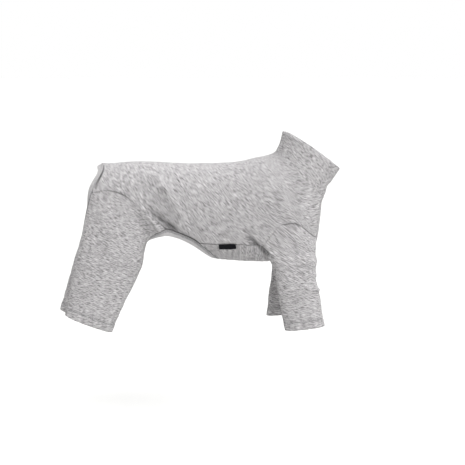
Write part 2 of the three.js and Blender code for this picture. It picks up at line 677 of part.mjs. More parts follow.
// One section of the binding, square to the edge that it follows. Towards its free side its directions are
// averaged over the neighbours, which rounds the corners.
const BINDING_BLEND = 2;
function bindingSection(loop, i) {
  const near = (k) => loop[(i + k + loop.length) % loop.length];
  const { at } = near(0);
  const tangent = near(1).at.clone().sub(near(-1).at).normalize();
  const square = (blend) => {
    const onward = new THREE.Vector3();
    const out = new THREE.Vector3();
    for (let k = -blend; k <= blend; k++) {
      onward.add(near(k).onward);
      out.add(near(k).out);
    }
    onward.addScaledVector(tangent, -onward.dot(tangent)).normalize();
    out.addScaledVector(tangent, -out.dot(tangent));
    out.addScaledVector(onward, -out.dot(onward)).normalize();
    return [onward, out];
  };
  const [sewn, free] = [square(1), square(BINDING_BLEND)];
  const corner = (share, high) => {
    const [onward, out] = share > 0 ? free : sewn;
    return at
      .clone()
      .addScaledVector(onward, BAND_GAP + share * (BAND_WIDTH - BAND_GAP))
      .addScaledVector(out, (BAND_THICKNESS - CLOTH) / 2 - high * BAND_THICKNESS);
  };
  return [
    corner(0, 0.85),
    corner(0.12, 1),
    corner(0.88, 1),
    corner(1, 0.5),
    corner(0.88, 0),
    corner(0.12, 0),
    corner(0, 0.15),
  ];
}

// The woven label is sewn into the right side seam, and hangs flat over the belly panel.
function labelGeometry() {
  const seam = (at) => bodyPoint(at, -backEdge(at));
  const along = seam(LABEL_RING + 0.3).sub(seam(LABEL_RING - 0.3)).normalize();
  const out = bodyNormal(LABEL_RING, -backEdge(LABEL_RING));
  out.addScaledVector(along, -out.dot(along)).normalize();
  const tilt = THREE.MathUtils.degToRad(LABEL_TILT);
  const down = along.clone().cross(out);
  const middle = seam(LABEL_RING)
    .addScaledVector(out, LABEL_CLEARANCE + LABEL_THICKNESS / 2)
    .addScaledVector(down, LABEL_CLEARANCE + LABEL_DROP / 2);
  along.applyAxisAngle(out, tilt);
  down.applyAxisAngle(out, tilt);
  const place = new THREE.Matrix4().makeBasis(along, out, down).setPosition(middle);
  return new THREE.BoxGeometry(LABEL_LENGTH, LABEL_THICKNESS, LABEL_DROP).applyMatrix4(place);
}

const sleeves = { [RIGHT]: sleevePanel(RIGHT), [LEFT]: sleevePanel(LEFT) };
const armholes = [...sleeves[RIGHT].seam, ...sleeves[LEFT].seam];
const back = backPanel(armholes);
const belly = bellyPanel(armholes);
const trousers = { [RIGHT]: trouserPanel(RIGHT), [LEFT]: trouserPanel(LEFT) };

const jumpsuit = new THREE.Group();
jumpsuit.add(
  mesh("back_panel", back.geometry(), jersey("back")),
  mesh("belly_panel", belly.geometry(), jersey("belly")),
  mesh("collar", collarGeometry(), jersey("collar")),
  mesh("right_sleeve", sleeves[RIGHT].geometry(), jersey("sleeve")),
  mesh("left_sleeve", sleeves[LEFT].geometry(), jersey("sleeve")),
  mesh("right_trouser_leg", trousers[RIGHT].geometry(), jersey("trouser leg")),
  mesh("left_trouser_leg", trousers[LEFT].geometry(), jersey("trouser leg")),
  mesh("opening_binding", bindingGeometry(back, belly, trousers), ribKnit),
  mesh("side_label", labelGeometry(), wovenLabel),
);

export default jumpsuit;
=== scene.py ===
"""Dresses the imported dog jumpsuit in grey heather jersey, with rib binding, stitching and a blank label.

Every panel is a surface of two parameters, worked out as whole arrays in the same way as the solids: the
body is a tube over a fan of rings, and the legs run down from its seam lines through rings of their own.
Here the grids are fine, and folds, pressed seams and turned hems move the cloth along its normals.
"""

import bpy
import numpy as np
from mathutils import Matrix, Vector


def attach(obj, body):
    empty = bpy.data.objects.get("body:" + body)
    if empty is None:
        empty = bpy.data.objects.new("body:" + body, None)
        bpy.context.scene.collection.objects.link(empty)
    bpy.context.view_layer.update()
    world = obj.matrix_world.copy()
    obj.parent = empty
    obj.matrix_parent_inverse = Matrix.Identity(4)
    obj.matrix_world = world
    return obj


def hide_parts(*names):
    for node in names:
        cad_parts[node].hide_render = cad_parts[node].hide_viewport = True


bl_info = {
    "name": "Dog Jumpsuit",
    "version": (1, 0, 0),
    "blender": (4, 5, 0),
    "location": "View3D > Sidebar > Jumpsuit",
    "description": "Builds the cloth panels, binding, stitching and label of a knitted dog jumpsuit",
    "category": "Object",
}

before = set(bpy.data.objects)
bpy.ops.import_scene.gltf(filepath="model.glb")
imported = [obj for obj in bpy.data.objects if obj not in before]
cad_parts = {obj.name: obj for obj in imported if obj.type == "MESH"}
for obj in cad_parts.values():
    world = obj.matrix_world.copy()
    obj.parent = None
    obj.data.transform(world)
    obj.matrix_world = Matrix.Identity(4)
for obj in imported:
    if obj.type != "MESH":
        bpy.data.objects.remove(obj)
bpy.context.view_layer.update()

MM = 0.001
RIGHT = -1
LEFT = 1


def table(columns, rows):
    """A table as a dict from each column's name to its array."""
    return dict(zip(columns.split(), np.array(rows, float).T))


# The body's rings, tail to collar: shares of the back length, chest depth and chest width.
BODY = table(
    "at top_x top_z low_x low_z width square taper",
    [
        (0, -0.975, -0.067, -1.11, -0.701, 0.74, 2.2, 0.05),
        (1, -0.905, -0.066, -0.985, -0.751, 0.86, 2.3, 0.05),
        (2, -0.82, -0.054, -0.855, -0.791, 0.93, 2.3, 0.08),
        (3, -0.73, -0.052, -0.725, -0.821, 0.93, 2.3, 0.12),
        (4, -0.61, -0.059, -0.595, -0.851, 0.88, 2.3, 0.16),
        (5, -0.462, -0.068, -0.45, -0.921, 0.87, 2.3, 0.2),
        (6, -0.332, -0.068, -0.314, -0.973, 0.9, 2.3, 0.22),
        (7, -0.213, -0.059, -0.166, -0.997, 0.95, 2.3, 0.24),
        (8, -0.13, -0.04, -0.018, -1.004, 1.0, 2.3, 0.24),
        (9, -0.071, -0.016, 0.13, -0.978, 1.0, 2.3, 0.24),
        (10, -0.024, -0.001, 0.249, -0.887, 0.96, 2.25, 0.22),
        (11, 0.006, 0.011, 0.293, -0.792, 0.9, 2.2, 0.18),
        (12, 0.024, 0.022, 0.305, -0.63, 0.84, 2.15, 0.12),
        (13, 0.036, 0.034, 0.314, -0.487, 0.79, 2.1, 0.06),
        (14, 0.045, 0.047, 0.323, -0.378, 0.75, 2.05, 0.0),
    ],
)

# The rings at which pieces meet, how many rings the belly's edge is notched, and the share of a ring's
# height at which its taper leaves the width alone.
NECK = 14
ARMPIT = 8
SLEEVE_FRONT = 11
SLEEVE_TOP = 9.75
GROIN = 4
BELLY_START = 5 + 1 / 3
BELLY_NOTCH = 0.85
TAPER_PIVOT = 0.45

# Seam lines on the body, as the share of a ring's height at which they cross it. An armhole has one for its
# outer half, drop, and one for its inner half, inside.
LEG_SEAM = table("at drop", [(0, 0.42), (1, 0.355), (2, 0.415), (3, 0.58), (GROIN, 0.79)])
FLANK_EDGE = table("at drop", [(GROIN, 0.79), (4.5, 0.81), (BELLY_START, 0.855)])
SIDE_SEAM = table("at drop", [(BELLY_START, 0.855), (6, 0.832), (7, 0.814), (ARMPIT, 0.838)])
ARMHOLE = table(
    "at drop inside",
    [
        (ARMPIT, 0.838, 0.838),
        (8.5, 0.727, 0.935),
        (9, 0.655, 0.968),
        (9.5, 0.664, 0.977),
        (10, 0.705, 0.98),
        (10.5, 0.825, 0.978),
        (SLEEVE_FRONT, 0.962, 0.962),
    ],
)
CHEST_SEAM = table("at drop", [(SLEEVE_FRONT, 0.962), (12, 0.955), (13, 0.95), (NECK, 0.95)])

# Leg rings below the seam: shares of the leg's length, its width, its outer reach and its depth.
SLEEVE = table(
    "drop rear front tip out deep",
    [
        (0.445, -0.51, 0.63, 0.0, 0.98, 0.8),
        (0.585, -0.42, 0.655, 0.008, 1.0, 0.87),
        (0.755, -0.34, 0.75, 0.02, 1.0, 0.95),
        (0.89, -0.255, 0.8, 0.04, 1.0, 1.0),
        (1.0, -0.187, 0.85, 0.046, 1.0, 1.0),
    ],
)
TROUSER = table(
    "drop rear front tip out deep",
    [
        (0.379, -0.435, 0.575, -0.07, 1.0, 1.0),
        (0.555, -0.515, 0.51, -0.11, 1.0, 0.98),
        (0.703, -0.575, 0.345, -0.12, 1.0, 0.94),
        (0.83, -0.63, 0.2, -0.12, 1.0, 0.9),
        (1.0, -0.7, 0.035, -0.118, 1.0, 0.88),
    ],
)
# The power of the legs' superellipses.
TUBE_SQUARE = 2.25

# Folds: ridges above 0 and grooves below it, from one point of the side view to another. x is a share of the
# back length, z of the chest depth, high of the fold height and wide of the fold width.
FOLDS = table(
    "side x0 z0 x1 z1 high wide",
    [
        (RIGHT, -0.741, -0.449, -0.664, -0.544, -0.5, 0.9),
        (RIGHT, -0.685, -0.518, -0.593, -0.644, -0.9, 0.8),
        (RIGHT, -0.641, -0.59, -0.56, -0.68, -1.2, 0.55),
        (RIGHT, -0.58, -0.66, -0.433, -0.81, -1.4, 0.6),
        (RIGHT, -0.695, -0.555, -0.645, -0.677, 1.6, 0.5),
        (RIGHT, -0.758, -0.553, -0.7, -0.715, -0.9, 0.7),
        (RIGHT, -0.8, -0.39, -0.72, -0.5, 0.5, 0.6),
        (RIGHT, -0.72, -0.24, -0.58, -0.54, -0.7, 1.8),
        (RIGHT, -0.655, -0.19, -0.6, -0.3, 0.9, 0.7),
        (RIGHT, -0.6, -0.3, -0.49, -0.58, 0.8, 0.8),
        (RIGHT, -0.49, -0.5, -0.42, -0.7, -0.4, 0.8),
        (RIGHT, -0.42, -0.6, -0.34, -0.74, 0.3, 0.9),
        (RIGHT, -0.119, -0.7, -0.085, -0.82, -0.5, 0.7),
        (RIGHT, -0.11, -0.78, -0.015, -0.9, -1.8, 0.55),
        (RIGHT, 0.0, -0.91, 0.035, -1.06, -0.5, 0.4),
        (RIGHT, -0.053, -0.86, -0.018, -0.965, 0.6, 0.4),
        (RIGHT, -0.04, -0.78, 0.03, -0.93, 0.9, 0.5),
        (RIGHT, 0.075, -0.6, 0.13, -0.6, -0.5, 0.8),
        (RIGHT, 0.03, -0.36, -0.02, -0.62, -0.35, 1.6),
        (RIGHT, 0.19, -0.24, 0.16, -0.5, -0.35, 1.6),
        (RIGHT, 0.3, -0.4, 0.35, -0.36, 0.5, 0.45),
        (RIGHT, 0.3, -0.33, 0.36, -0.28, -0.4, 0.5),
        (RIGHT, 0.29, -0.9, 0.2, -0.86, -0.6, 0.45),
        (RIGHT, 0.29, -0.98, 0.17, -0.94, 0.4, 0.45),
        (RIGHT, 0.29, -1.06, 0.2, -1.02, -0.5, 0.45),
        (RIGHT, 0.29, -1.16, 0.18, -1.1, -0.35, 0.5),
        (RIGHT, 0.29, -1.25, 0.22, -1.23, 0.7, 0.4),
        (RIGHT, 0.12, -0.72, 0.2, -1.0, -0.35, 1.0),
        (RIGHT, 0.06, -1.0, 0.12, -1.2, 0.35, 0.8),
        (RIGHT, -0.72, -1.12, -0.92, -1.0, -0.4, 1.2),
        (RIGHT, -0.79, -0.92, -0.83, -1.05, 0.35, 1.2),
        (RIGHT, -1.0, -0.6, -0.97, -0.9, -0.3, 1.4),
        (LEFT, -0.8, -0.36, -0.59, -0.7, 0.6, 0.7),
        (LEFT, -0.7, -0.4, -0.52, -0.72, -1.1, 0.6),
        (LEFT, -0.6, -0.16, -0.45, -0.52, 0.6, 0.9),
        (LEFT, -0.12, -0.68, -0.05, -0.84, -0.9, 0.6),
        (LEFT, 0.06, -0.36, 0.0, -0.62, -0.5, 1.4),
        (LEFT, 0.2, -0.98, 0.06, -0.9, -0.6, 0.6),
        (LEFT, -0.74, -1.15, -0.95, -1.0, -0.5, 1.2),
    ],
)

# The strength of each seam at places of the back panel's edge, tail to collar: its sink and painted shade.
SEAM_SINK_AND_PAINTED_SHADE = table(
    "at dark",
    [
        (0, 0.35),
        (1, 0.45),
        (1.7, 0.85),
        (2, 0.8),
        (2.5, 0.2),
        (3.5, 0.15),
        (3.9, 0.5),
        (GROIN, 0.9),
        (BELLY_START, 0.8),
        (6, 0.6),
        (ARMPIT, 0.55),
        (8.4, 0.15),
        (9.1, 0.15),
        (9.35, 0.75),
        (10.1, 0.7),
        (10.35, 0.35),
        (10.6, 0.65),
        (SLEEVE_FRONT, 0.6),
        (12, 0.25),
        (NECK, 0.2),
    ],
)

# A stitch's rings: places along it from -1 to 1, and shares of the thread's thickness.
STITCH_RINGS = table(
    "place thick", [(-1, 0.35), (-0.85, 0.8), (-0.4, 1), (0, 1.05), (0.4, 1), (0.85, 0.8), (1, 0.35)]
)
STITCH_SIDES = 6
STITCH_ARCH = 0.35

# Rows to each ring of the body, columns across it, rows and columns of the legs, steps of a smooth line from
# one of its points to the next, and a small step that finds a slope.
RING_ROWS = 18
CHEST_RING_ROWS = 12
BACK_COLUMNS = 132
BELLY_COLUMNS = 44
SLEEVE_ROWS = 64
APRON_ROWS = 46
TROUSER_ROWS = 62
HEM_ROWS = 21
INNER_COLUMNS = 44
LINE_STEPS = 16
STEP = 1e-3

# Seeds and lengths of the waves and wrinkles, how much their lengths vary, how many are added up, and how
# space is squeezed to draw the wrinkles out.
WAVES = (11, 34 * MM)
CRINKLES = (23, 8 * MM)
BELLY_WRINKLES = (31, 6 * MM)
COLLAR_WRINKLES = (41, 7 * MM)
WAVE_SPREAD = (0.7, 1.8)
WAVE_COUNT = 12
WRINKLE_SHARE = 0.6
CRINKLE_SQUEEZE = np.array([0.3, 0.3, 1])
BELLY_SQUEEZE = np.array([1, 0.15, 0.15])
COLLAR_SQUEEZE = np.array([[0.5, 0, 0.5], [0, 0.3, 0], [0.5, 0, 0.8]])

# Seams sink and pucker; seams, hollows and the belly get painted shade; folds end where cloth turns inwards.
SEAM_STEP = 0.7 * MM
SEAM_ROUND = 0.2 * MM
SEAM_GROOVE = 2.2 * MM
SHADE_WIDTH = 1.0 * MM
PUCKER_REACH = 3.5 * MM
PUCKER_LENGTHS = (1.9 * MM, 7.3 * MM)
PUCKER_SHARE = 0.4
HOLLOW_SHADE = 0.2
HOLLOW_LIMIT = 1.6
BELLY_SHADE = 0.12
FOLD_END = 2.5

# Hems swell where the cloth is doubled, sink with painted shade at their stitches, and ruffle a little.
HEM_STITCHES = (0.8, 0.96)
HEM_TURN = 1 * MM
HEM_SWELL = 0.5 * MM
HEM_GROOVE = 0.7 * MM
HEM_SHADE = 0.35
RUFFLE_LENGTHS = (4.1 * MM, 9.7 * MM)
RUFFLE_SHARE = 0.25

# How steeply the knitted courses fall: down the back panel, and forwards at a leg's seam and at its hem.
BACK_BIAS = 0.75
SLEEVE_SLANTS = (0.8, -0.05)
TROUSER_SLANTS = (0.65, 0.15)

# The slits beside the tail, as shares of half the back panel, and the shallow crease in front of each,
# which is painted nearly black as the shadow of an open gap.
SLIT_START = 0.12
SLIT_SPAN = 0.7
CREASE_INSET = 6 * MM
CREASE_SPREAD = 0.8
CREASE_WIDTH = 1.7 * MM
CREASE_PAINTED_SHADOW = 0.97

# A trouser leg's edge dips at the crotch, and its apron's rear edge leaves the seam backwards.
CROTCH_SCOOP = 0.55
APRON_REAR = np.array([-1, 0, -0.1])

# The binding's stitches and stitched face, as shares of its width, and its tuck behind the rump, which is
# less beside the tail.
BINDING_STITCHES = (0.12, 0.3)
BAND_FACE = (0.02, 0.9)
BAND_ROWS = 23
BAND_ROUND = 8
BAND_GAP = 0.2 * MM
BAND_TUCK = np.radians(45)
TAIL_TUCK = 0.4
# TAIL_SHADE is how much of the binding's painted shade fades beside the tail.
TAIL_SHADE = 0.75
TAIL_FOOT = 0.4
TAIL_FADE = 10
RUMP_END = 0.86
RUMP_FADE = 8

# Points on each side over which the binding's directions are averaged: the edge's own, those at the seam and
# at the free edge, and the free edge itself, which rounds its corners.
EDGE_BLEND = 3
SEAM_BLEND = 4
FREE_BLEND = 11
CORNER_BLEND = 10

# The collar leans forwards, and its rim slopes down to the throat and swells over COLLAR_ROLL. Its rows
# stand closer at the seam, and its fine wrinkles reach COLLAR_FINE radians round from the throat.
COLLAR_LEAN = np.radians(27)
COLLAR_SLOPE = np.radians(32.5)
COLLAR_BLEND = 0.8
COLLAR_ROWS = np.concatenate([[0, 0.004, 0.01], np.linspace(0.03, 1, 30)])
COLLAR_ROLL = 5 * MM
COLLAR_FINE = 1.6
RIM_ROUND = 9

# The label's ring on the body, its tilt, how far it stands off and above the seam, and how far it curls.
LABEL_RING = 6.54
LABEL_TILT = np.radians(3)
LABEL_STAND = 1.3 * MM
LABEL_RAISE = 1.2 * MM
LABEL_CURL = 0.5 * MM
LABEL_COLUMNS = 29
LABEL_ROWS = 12
LABEL_ROUND = 6

# Streaks of the mixed yarn: length, width, detail, and the places of its dark, plain, plain and light tones.
# Then the share of short ones, the fuzz of loose fibres, the cloth's mottling and the thread's twist.
LONG_STREAKS = (10 * MM, 1.0 * MM, 2.0, (0.39, 0.5, 0.53, 0.66))
SHORT_STREAKS = (5.5 * MM, 1.1 * MM, 1.0, (0.38, 0.5, 0.54, 0.75))
RIB_STREAKS = (6 * MM, 1.2 * MM, 3.0, (0.28, 0.42, 0.6, 0.75))
SHORT_SHARE = 0.45
FUZZ = (1.2 * MM, 0.6 * MM)
MOTTLE_SIZE = 100 / 3 * MM
TWIST_SIZE = 10 / 9 * MM


# Curves and directions


def curve(rows, name, at):
    """A column read along cubics between its rows, with the slope of the neighbouring rows at each row."""
    x, y = rows["at"], rows[name]
    before = np.maximum(np.arange(len(x)) - 1, 0)
    after = np.minimum(np.arange(len(x)) + 1, len(x) - 1)
    slope = (y[after] - y[before]) / (x[after] - x[before])
    at = np.asarray(at, float)
    i = np.clip(np.searchsorted(x, at, side="right") - 1, 0, len(x) - 2)
    span = x[i + 1] - x[i]
    return cubic(y[i], y[i + 1], slope[i] * span, slope[i + 1] * span, (at - x[i]) / span)


def cubic(start, end, slope_start, slope_end, t):
    """The cubic from start to end that has the two slopes, at t from 0 to 1."""
    ease = t * t * (3 - 2 * t)
    return start + (end - start) * ease + slope_start * t * (1 - t) ** 2 - slope_end * t * t * (1 - t)


def power(x, p):
    """x to a power, keeping its sign."""
    return np.sign(x) * np.abs(x) ** p


def unit(vectors):
    """Vectors made one long along the last axis."""
    return vectors / np.maximum(np.linalg.norm(vectors, axis=-1, keepdims=True), 1e-12)


def smoothstep(x):
    """0 below 0, 1 above 1 and a smooth rise between them."""
    x = np.clip(x, 0, 1)
    return x * x * (3 - 2 * x)


def bump(distance, width):
    """A bell curve, 1 at no distance and falling off over width."""
    return np.exp(-((distance / width) ** 2))


# The body's form and its seam lines


def body_point(size, at, turn):
    """The body's outer face: on the line from the top to the underside of ring `at`, a superellipse in
    `turn`, which is 0 along the back and half a circle underneath. Its taper narrows it downwards."""
    ring = {name: curve(BODY, name, at) for name in BODY if name != "at"}
    down = (1 - power(np.cos(turn), 2 / ring["square"])) / 2
    width = size.chest_width / 2 * ring["width"] * (1 + ring["taper"] * (TAPER_PIVOT - down))
    return np.stack(
        [
            size.back_length * (ring["top_x"] + (ring["low_x"] - ring["top_x"]) * down),
            width * power(np.sin(turn), 2 / ring["square"]),
            size.chest_depth * (ring["top_z"] + (ring["low_z"] - ring["top_z"]) * down),
        ],
        axis=-1,
    )


def turn_at(at, drop):
    """The turn at which a ring has dropped that share of its height."""
    return np.arccos(power(1 - 2 * np.asarray(drop), curve(BODY, "square", at) / 2))


def body_normal(size, at, turn):
    """The body's outward direction, from its slopes along the body and round it."""
    along = body_point(size, at + STEP, turn) - body_point(size, at - STEP, turn)
    around = body_point(size, at, turn + STEP) - body_point(size, at, turn - STEP)
    return unit(np.cross(along, around))


def back_edge(at):
    """The turn of the back panel's lower edge: leg seam, flank, side seam, armhole and chest seam."""
    at = np.asarray(at, float)
    ends = (GROIN, BELLY_START, ARMPIT, SLEEVE_FRONT, NECK)
    seams = (LEG_SEAM, FLANK_EDGE, SIDE_SEAM, ARMHOLE, CHEST_SEAM)
    drops = [curve(seam, "drop", at) for seam in seams]
    return turn_at(at, np.select([at <= end + 1e-9 for end in ends], drops, drops[-1]))


def belly_edge(at):
    """The turn of the belly panel's side edge: the back panel's edge, but inside the armhole."""
    inside = (at > ARMPIT) & (at < SLEEVE_FRONT)
    return np.where(inside, turn_at(at, curve(ARMHOLE, "inside", at)), back_edge(at))


# Folds, waves and distances along the cloth


def fold_relief(size, points, outwards):
    """How far the folds push the cloth out: a bell curve of the distance to each fold's line in the side
    view. They end where the cloth turns inwards between the legs."""
    push = np.zeros(points.shape[:-1])
    seen = smoothstep(1 + FOLD_END * np.sign(points[..., 1]) * outwards[..., 1])
    for k in range(len(FOLDS["side"])):
        fold = {name: column[k] for name, column in FOLDS.items()}
        start = np.array([fold["x0"] * size.back_length, fold["z0"] * size.chest_depth])
        reach = np.array([fold["x1"] * size.back_length, fold["z1"] * size.chest_depth]) - start
        spot = points[..., [0, 2]] - start
        share = np.clip(spot @ reach / (reach @ reach), 0, 1)
        away = np.linalg.norm(spot - share[..., None] * reach, axis=-1)
        height = fold["high"] * size.fold_height * bump(away, fold["wide"] * size.fold_width)
        push += np.where(fold["side"] * points[..., 1] > 0, height, 0)
    return push * seen


def soft_relief(size, points, outwards):
    """The folds and uneven waves of the cloth, outwards from its smooth form."""
    return fold_relief(size, points, outwards) + size.wave_height * waves(points, *WAVES)


def painted_hollow_shade(size, relief):
    """How much painted shade darkens the cloth where it lies lower than its smooth form."""
    return HOLLOW_SHADE * np.clip(-relief / size.fold_height, 0, HOLLOW_LIMIT)


def seam_sink_and_painted_shade(at):
    """How deep the seam sinks and how dark its painted shade is, at places on the back panel's edge."""
    return np.interp(at, SEAM_SINK_AND_PAINTED_SHADE["at"], SEAM_SINK_AND_PAINTED_SHADE["dark"])


def waves(points, seed, wavelength):
    """Uneven soft waves of the cloth, about 1 high: a sum of sine waves of mixed directions and lengths in
    space, so that they run on from panel to panel."""
    rng = np.random.default_rng(seed)
    total = np.zeros(points.shape[:-1])
    for _ in range(WAVE_COUNT):
        way = rng.normal(size=3)
        way *= 2 * np.pi / (np.linalg.norm(way) * wavelength * rng.uniform(*WAVE_SPREAD))
        total += np.sin(points @ way + rng.uniform(0, 2 * np.pi))
    return total / np.sqrt(2 * WAVE_COUNT)


def run_along(points, axis):
    """Distances run along a grid's rows or columns from its first one."""
    steps = np.linalg.norm(np.diff(points, axis=axis), axis=-1)
    start = np.zeros_like(np.take(steps, [0], axis=axis))
    return np.concatenate([start, np.cumsum(steps, axis=axis)], axis=axis)


def lines_through(points, first_slope, distances):
    """Smooth lines through points[k, column] that leave the first point along first_slope, read at
    distances[row, column] from their start: cubics, whose slopes weigh the chords beside them by length."""
    spans = np.linalg.norm(np.diff(points, axis=0), axis=-1)[..., None]
    chords = np.diff(points, axis=0) / spans
    slopes = np.empty_like(points)
    slopes[0] = first_slope
    slopes[-1] = chords[-1]
    slopes[1:-1] = (chords[:-1] * spans[1:] + chords[1:] * spans[:-1]) / (spans[1:] + spans[:-1])
    t = np.linspace(0, 1, LINE_STEPS + 1)[:-1, None, None]
    pieces = [
        cubic(points[k], points[k + 1], slopes[k] * spans[k], slopes[k + 1] * spans[k], t)
        for k in range(len(spans))
    ]
    dense = np.concatenate(pieces + [points[-1:]])
    run = run_along(dense, 0)
    wanted = distances(run[-1], run[LINE_STEPS])
    i = np.clip((run[:, None, :] <= wanted[None] + 1e-12).sum(0) - 1, 0, len(run) - 2)
    low = np.take_along_axis(run, i, 0)
    high = np.take_along_axis(run, i + 1, 0)
    share = ((wanted - low) / (high - low))[..., None]
    spots = np.stack([np.take_along_axis(dense[..., k], i, 0) for k in range(3)], axis=-1)
    ends = np.stack([np.take_along_axis(dense[..., k], i + 1, 0) for k in range(3)], axis=-1)
    return spots + (ends - spots) * share


# The legs' form


def leg_sizes(size, kind, rings, side, top):
    """A leg's sizes and rings. The left leg stands off the mirror image of the right one."""
    leg = {name: getattr(size, f"{kind}_{name}") for name in ("length", "width", "out", "depth")}
    for name in ("swing", "lift"):
        leg[name] = getattr(size, f"left_{kind}_{name}") if side == LEFT else 0
    return {"side": side, "rings": rings, "top": top, **leg}


def leg_point(leg, row, around):
    """A leg's ring: a superellipse, outside at 0, in front at a quarter turn and inside at half a turn. The
    ring's front or rear tips down."""
    ring = {name: leg["rings"][name][row] for name in leg["rings"]}
    first = leg["rings"]["drop"][0]
    below = (ring["drop"] - first) / (1 - first)
    forward = power(np.sin(around), 2 / TUBE_SQUARE)
    inward = (1 - power(np.cos(around), 2 / TUBE_SQUARE)) / 2
    middle = (ring["rear"] + ring["front"]) / 2
    half = (ring["front"] - ring["rear"]) / 2
    fall = ring["drop"] + ring["tip"] * (1 - forward) / 2
    return np.stack(
        [
            leg["top"][0] + leg["width"] * (middle + half * forward) + leg["swing"] * below,
            leg["side"] * (leg["out"] * ring["out"] - leg["depth"] * ring["deep"] * inward),
            leg["top"][2] - leg["length"] * fall + leg["lift"] * below,
        ],
        axis=-1,
    )


# Meshes


def squares(grid):
    """The corners of each square of a grid, in order."""
    return np.stack([grid[:-1, :-1], grid[1:, :-1], grid[1:, 1:], grid[:-1, 1:]], axis=2)


def keys_of(points, step):
    """Points as whole numbers of tiny steps, so that equal ones can be found."""
    return np.round(points / step).astype(np.int64)


class Cloth:
    """One panel's outer face: grids whose equal points are one vertex, with normals and flat distances."""

    def __init__(self, grids, flats, wall, side=RIGHT):
        """grids are points[row, column], and flats the matching distances across and down the cloth. A left
        panel's columns run the other way, so that its faces point out too."""
        self.side = side
        if side == LEFT:
            grids = [grid[:, ::-1] for grid in grids]
            flats = [flat[:, ::-1] for flat in flats]
        loose = np.concatenate([grid.reshape(-1, 3) for grid in grids])
        _, first, which = np.unique(keys_of(loose, 1e-7), axis=0, return_index=True, return_inverse=True)
        which = which.reshape(-1)
        self.points = loose[first]
        self.flat = np.concatenate([flat.reshape(-1, 2) for flat in flats])[first]
        self.courses = self.flat[:, 1].copy()
        # Each vertex's painted shade, 0 until the panel sets it.
        self.shade = np.zeros(len(self.points))
        self.wall = np.full(len(self.points), wall)
        self.from_hem = None
        ends = np.cumsum([grid.shape[0] * grid.shape[1] for grid in grids])[:-1]
        self.grids = [part.reshape(grid.shape[:2]) for part, grid in zip(np.split(which, ends), grids)]
        self.quads = np.concatenate([squares(index).reshape(-1, 4) for index in self.grids])
        self.quad_flats = np.concatenate([squares(flat).reshape(-1, 4, 2) for flat in flats])
        self.normals = self.face_normals()

    def face_normals(self):
        """Each vertex's outward direction: the sum of the cross products of its squares' diagonals."""
        a, b, c, d = (self.points[self.quads[:, k]] for k in range(4))
        across = np.cross(c - a, d - b)
        total = np.zeros_like(self.points)
        for k in range(4):
            np.add.at(total, self.quads[:, k], across)
        return unit(total)

    def rim_of(self, outer):
        """The open edges, and each vertex's direction out of the cloth at them."""
        count = len(outer)
        edges = np.concatenate([self.quads[:, [k, (k + 1) % 4]] for k in range(4)])
        codes = edges[:, 0] * count + edges[:, 1]
        rim = edges[~np.isin(edges[:, 1] * count + edges[:, 0], codes)]
        away = np.zeros_like(outer)
        outwards = np.cross(outer[rim[:, 1]] - outer[rim[:, 0]], self.normals[rim[:, 0]])
        for k in range(2):
            np.add.at(away, rim[:, k], unit(outwards))
        return rim, unit(away)

    def wall_mesh(self, name, shift):
        """The closed cloth wall. The outer face moves along the normals by shift, the inner face lies the
        wall below it, and open edges get a rounded end: a half round at a hem, a flatter one at a seam."""
        outer = self.points + self.normals * shift[:, None]
        count = len(outer)
        rim, away = self.rim_of(outer)
        on_rim = np.unique(rim)
        half = self.wall[on_rim] / 2
        doubled = self.wall[on_rim] > 1.5 * self.wall.min()
        reach = np.where(doubled, half, SEAM_ROUND)
        outer[on_rim] -= away[on_rim] * reach[:, None]
        inner = outer - self.normals * self.wall[:, None]
        number = np.full(count, -1)
        number[on_rim] = np.arange(len(on_rim))
        rounds = []
        for angle in (np.pi / 4, np.pi / 2, 3 * np.pi / 4):
            level = (half * (np.cos(angle) - 1))[:, None]
            end = away[on_rim] * (reach * np.sin(angle))[:, None]
            rounds.append(outer[on_rim] + self.normals[on_rim] * level + end)
        rails = [rim] + [2 * count + k * len(on_rim) + number[rim] for k in range(3)] + [rim + count]
        sides = [np.stack([a[:, 1], a[:, 0], b[:, 0], b[:, 1]], axis=-1) for a, b in zip(rails, rails[1:])]
        quads = np.concatenate([self.quads, self.quads[:, ::-1] + count] + sides)
        spread = self.quad_flats.copy()
        spread[..., 1] = self.courses[self.quads]
        rim_flat = np.stack([self.flat[rim][..., 0], self.courses[rim]], axis=-1)
        side_flat = rim_flat[:, [1, 0, 0, 1]]
        flats = np.concatenate([spread, spread[:, ::-1]] + [side_flat] * len(sides))
        # The painted shade, also on the inner face and the rounded edges.
        shade = np.concatenate([self.shade] * 2 + [self.shade[on_rim]] * 3)
        self.outer = outer
        return new_piece(name, np.concatenate([outer, inner] + rounds), quads, flats, shade)


def new_piece(name, points, quads, flats, shade=None):
    """A mesh object at the origin from points, squares and each corner's flat distances, which become its
    UV map. shade is each point's painted shade: darkness painted into seams, grooves and hollows."""
    mesh = bpy.data.meshes.new(name)
    mesh.vertices.add(len(points))
    mesh.vertices.foreach_set("co", points.astype(np.float32).ravel())
    mesh.loops.add(quads.size)
    mesh.loops.foreach_set("vertex_index", quads.astype(np.int32).ravel())
    mesh.polygons.add(len(quads))
    mesh.polygons.foreach_set("loop_start", np.arange(0, quads.size, 4, dtype=np.int32))
    mesh.polygons.foreach_set("use_smooth", np.ones(len(quads), bool))
    mesh.update(calc_edges=True)
    mesh.uv_layers.new(name="cloth").data.foreach_set("uv", flats.astype(np.float32).reshape(-1))
    if shade is not None:
        # The painted shade, which the materials read to darken their colour.
        dark = mesh.attributes.new("seam_shade", "FLOAT", "POINT")
        dark.data.foreach_set("value", shade.astype(np.float32))
    mesh.validate()
    piece = bpy.data.objects.new(name, mesh)
    bpy.context.scene.collection.objects.link(piece)
    return piece


# Sizes and colours that a user can change


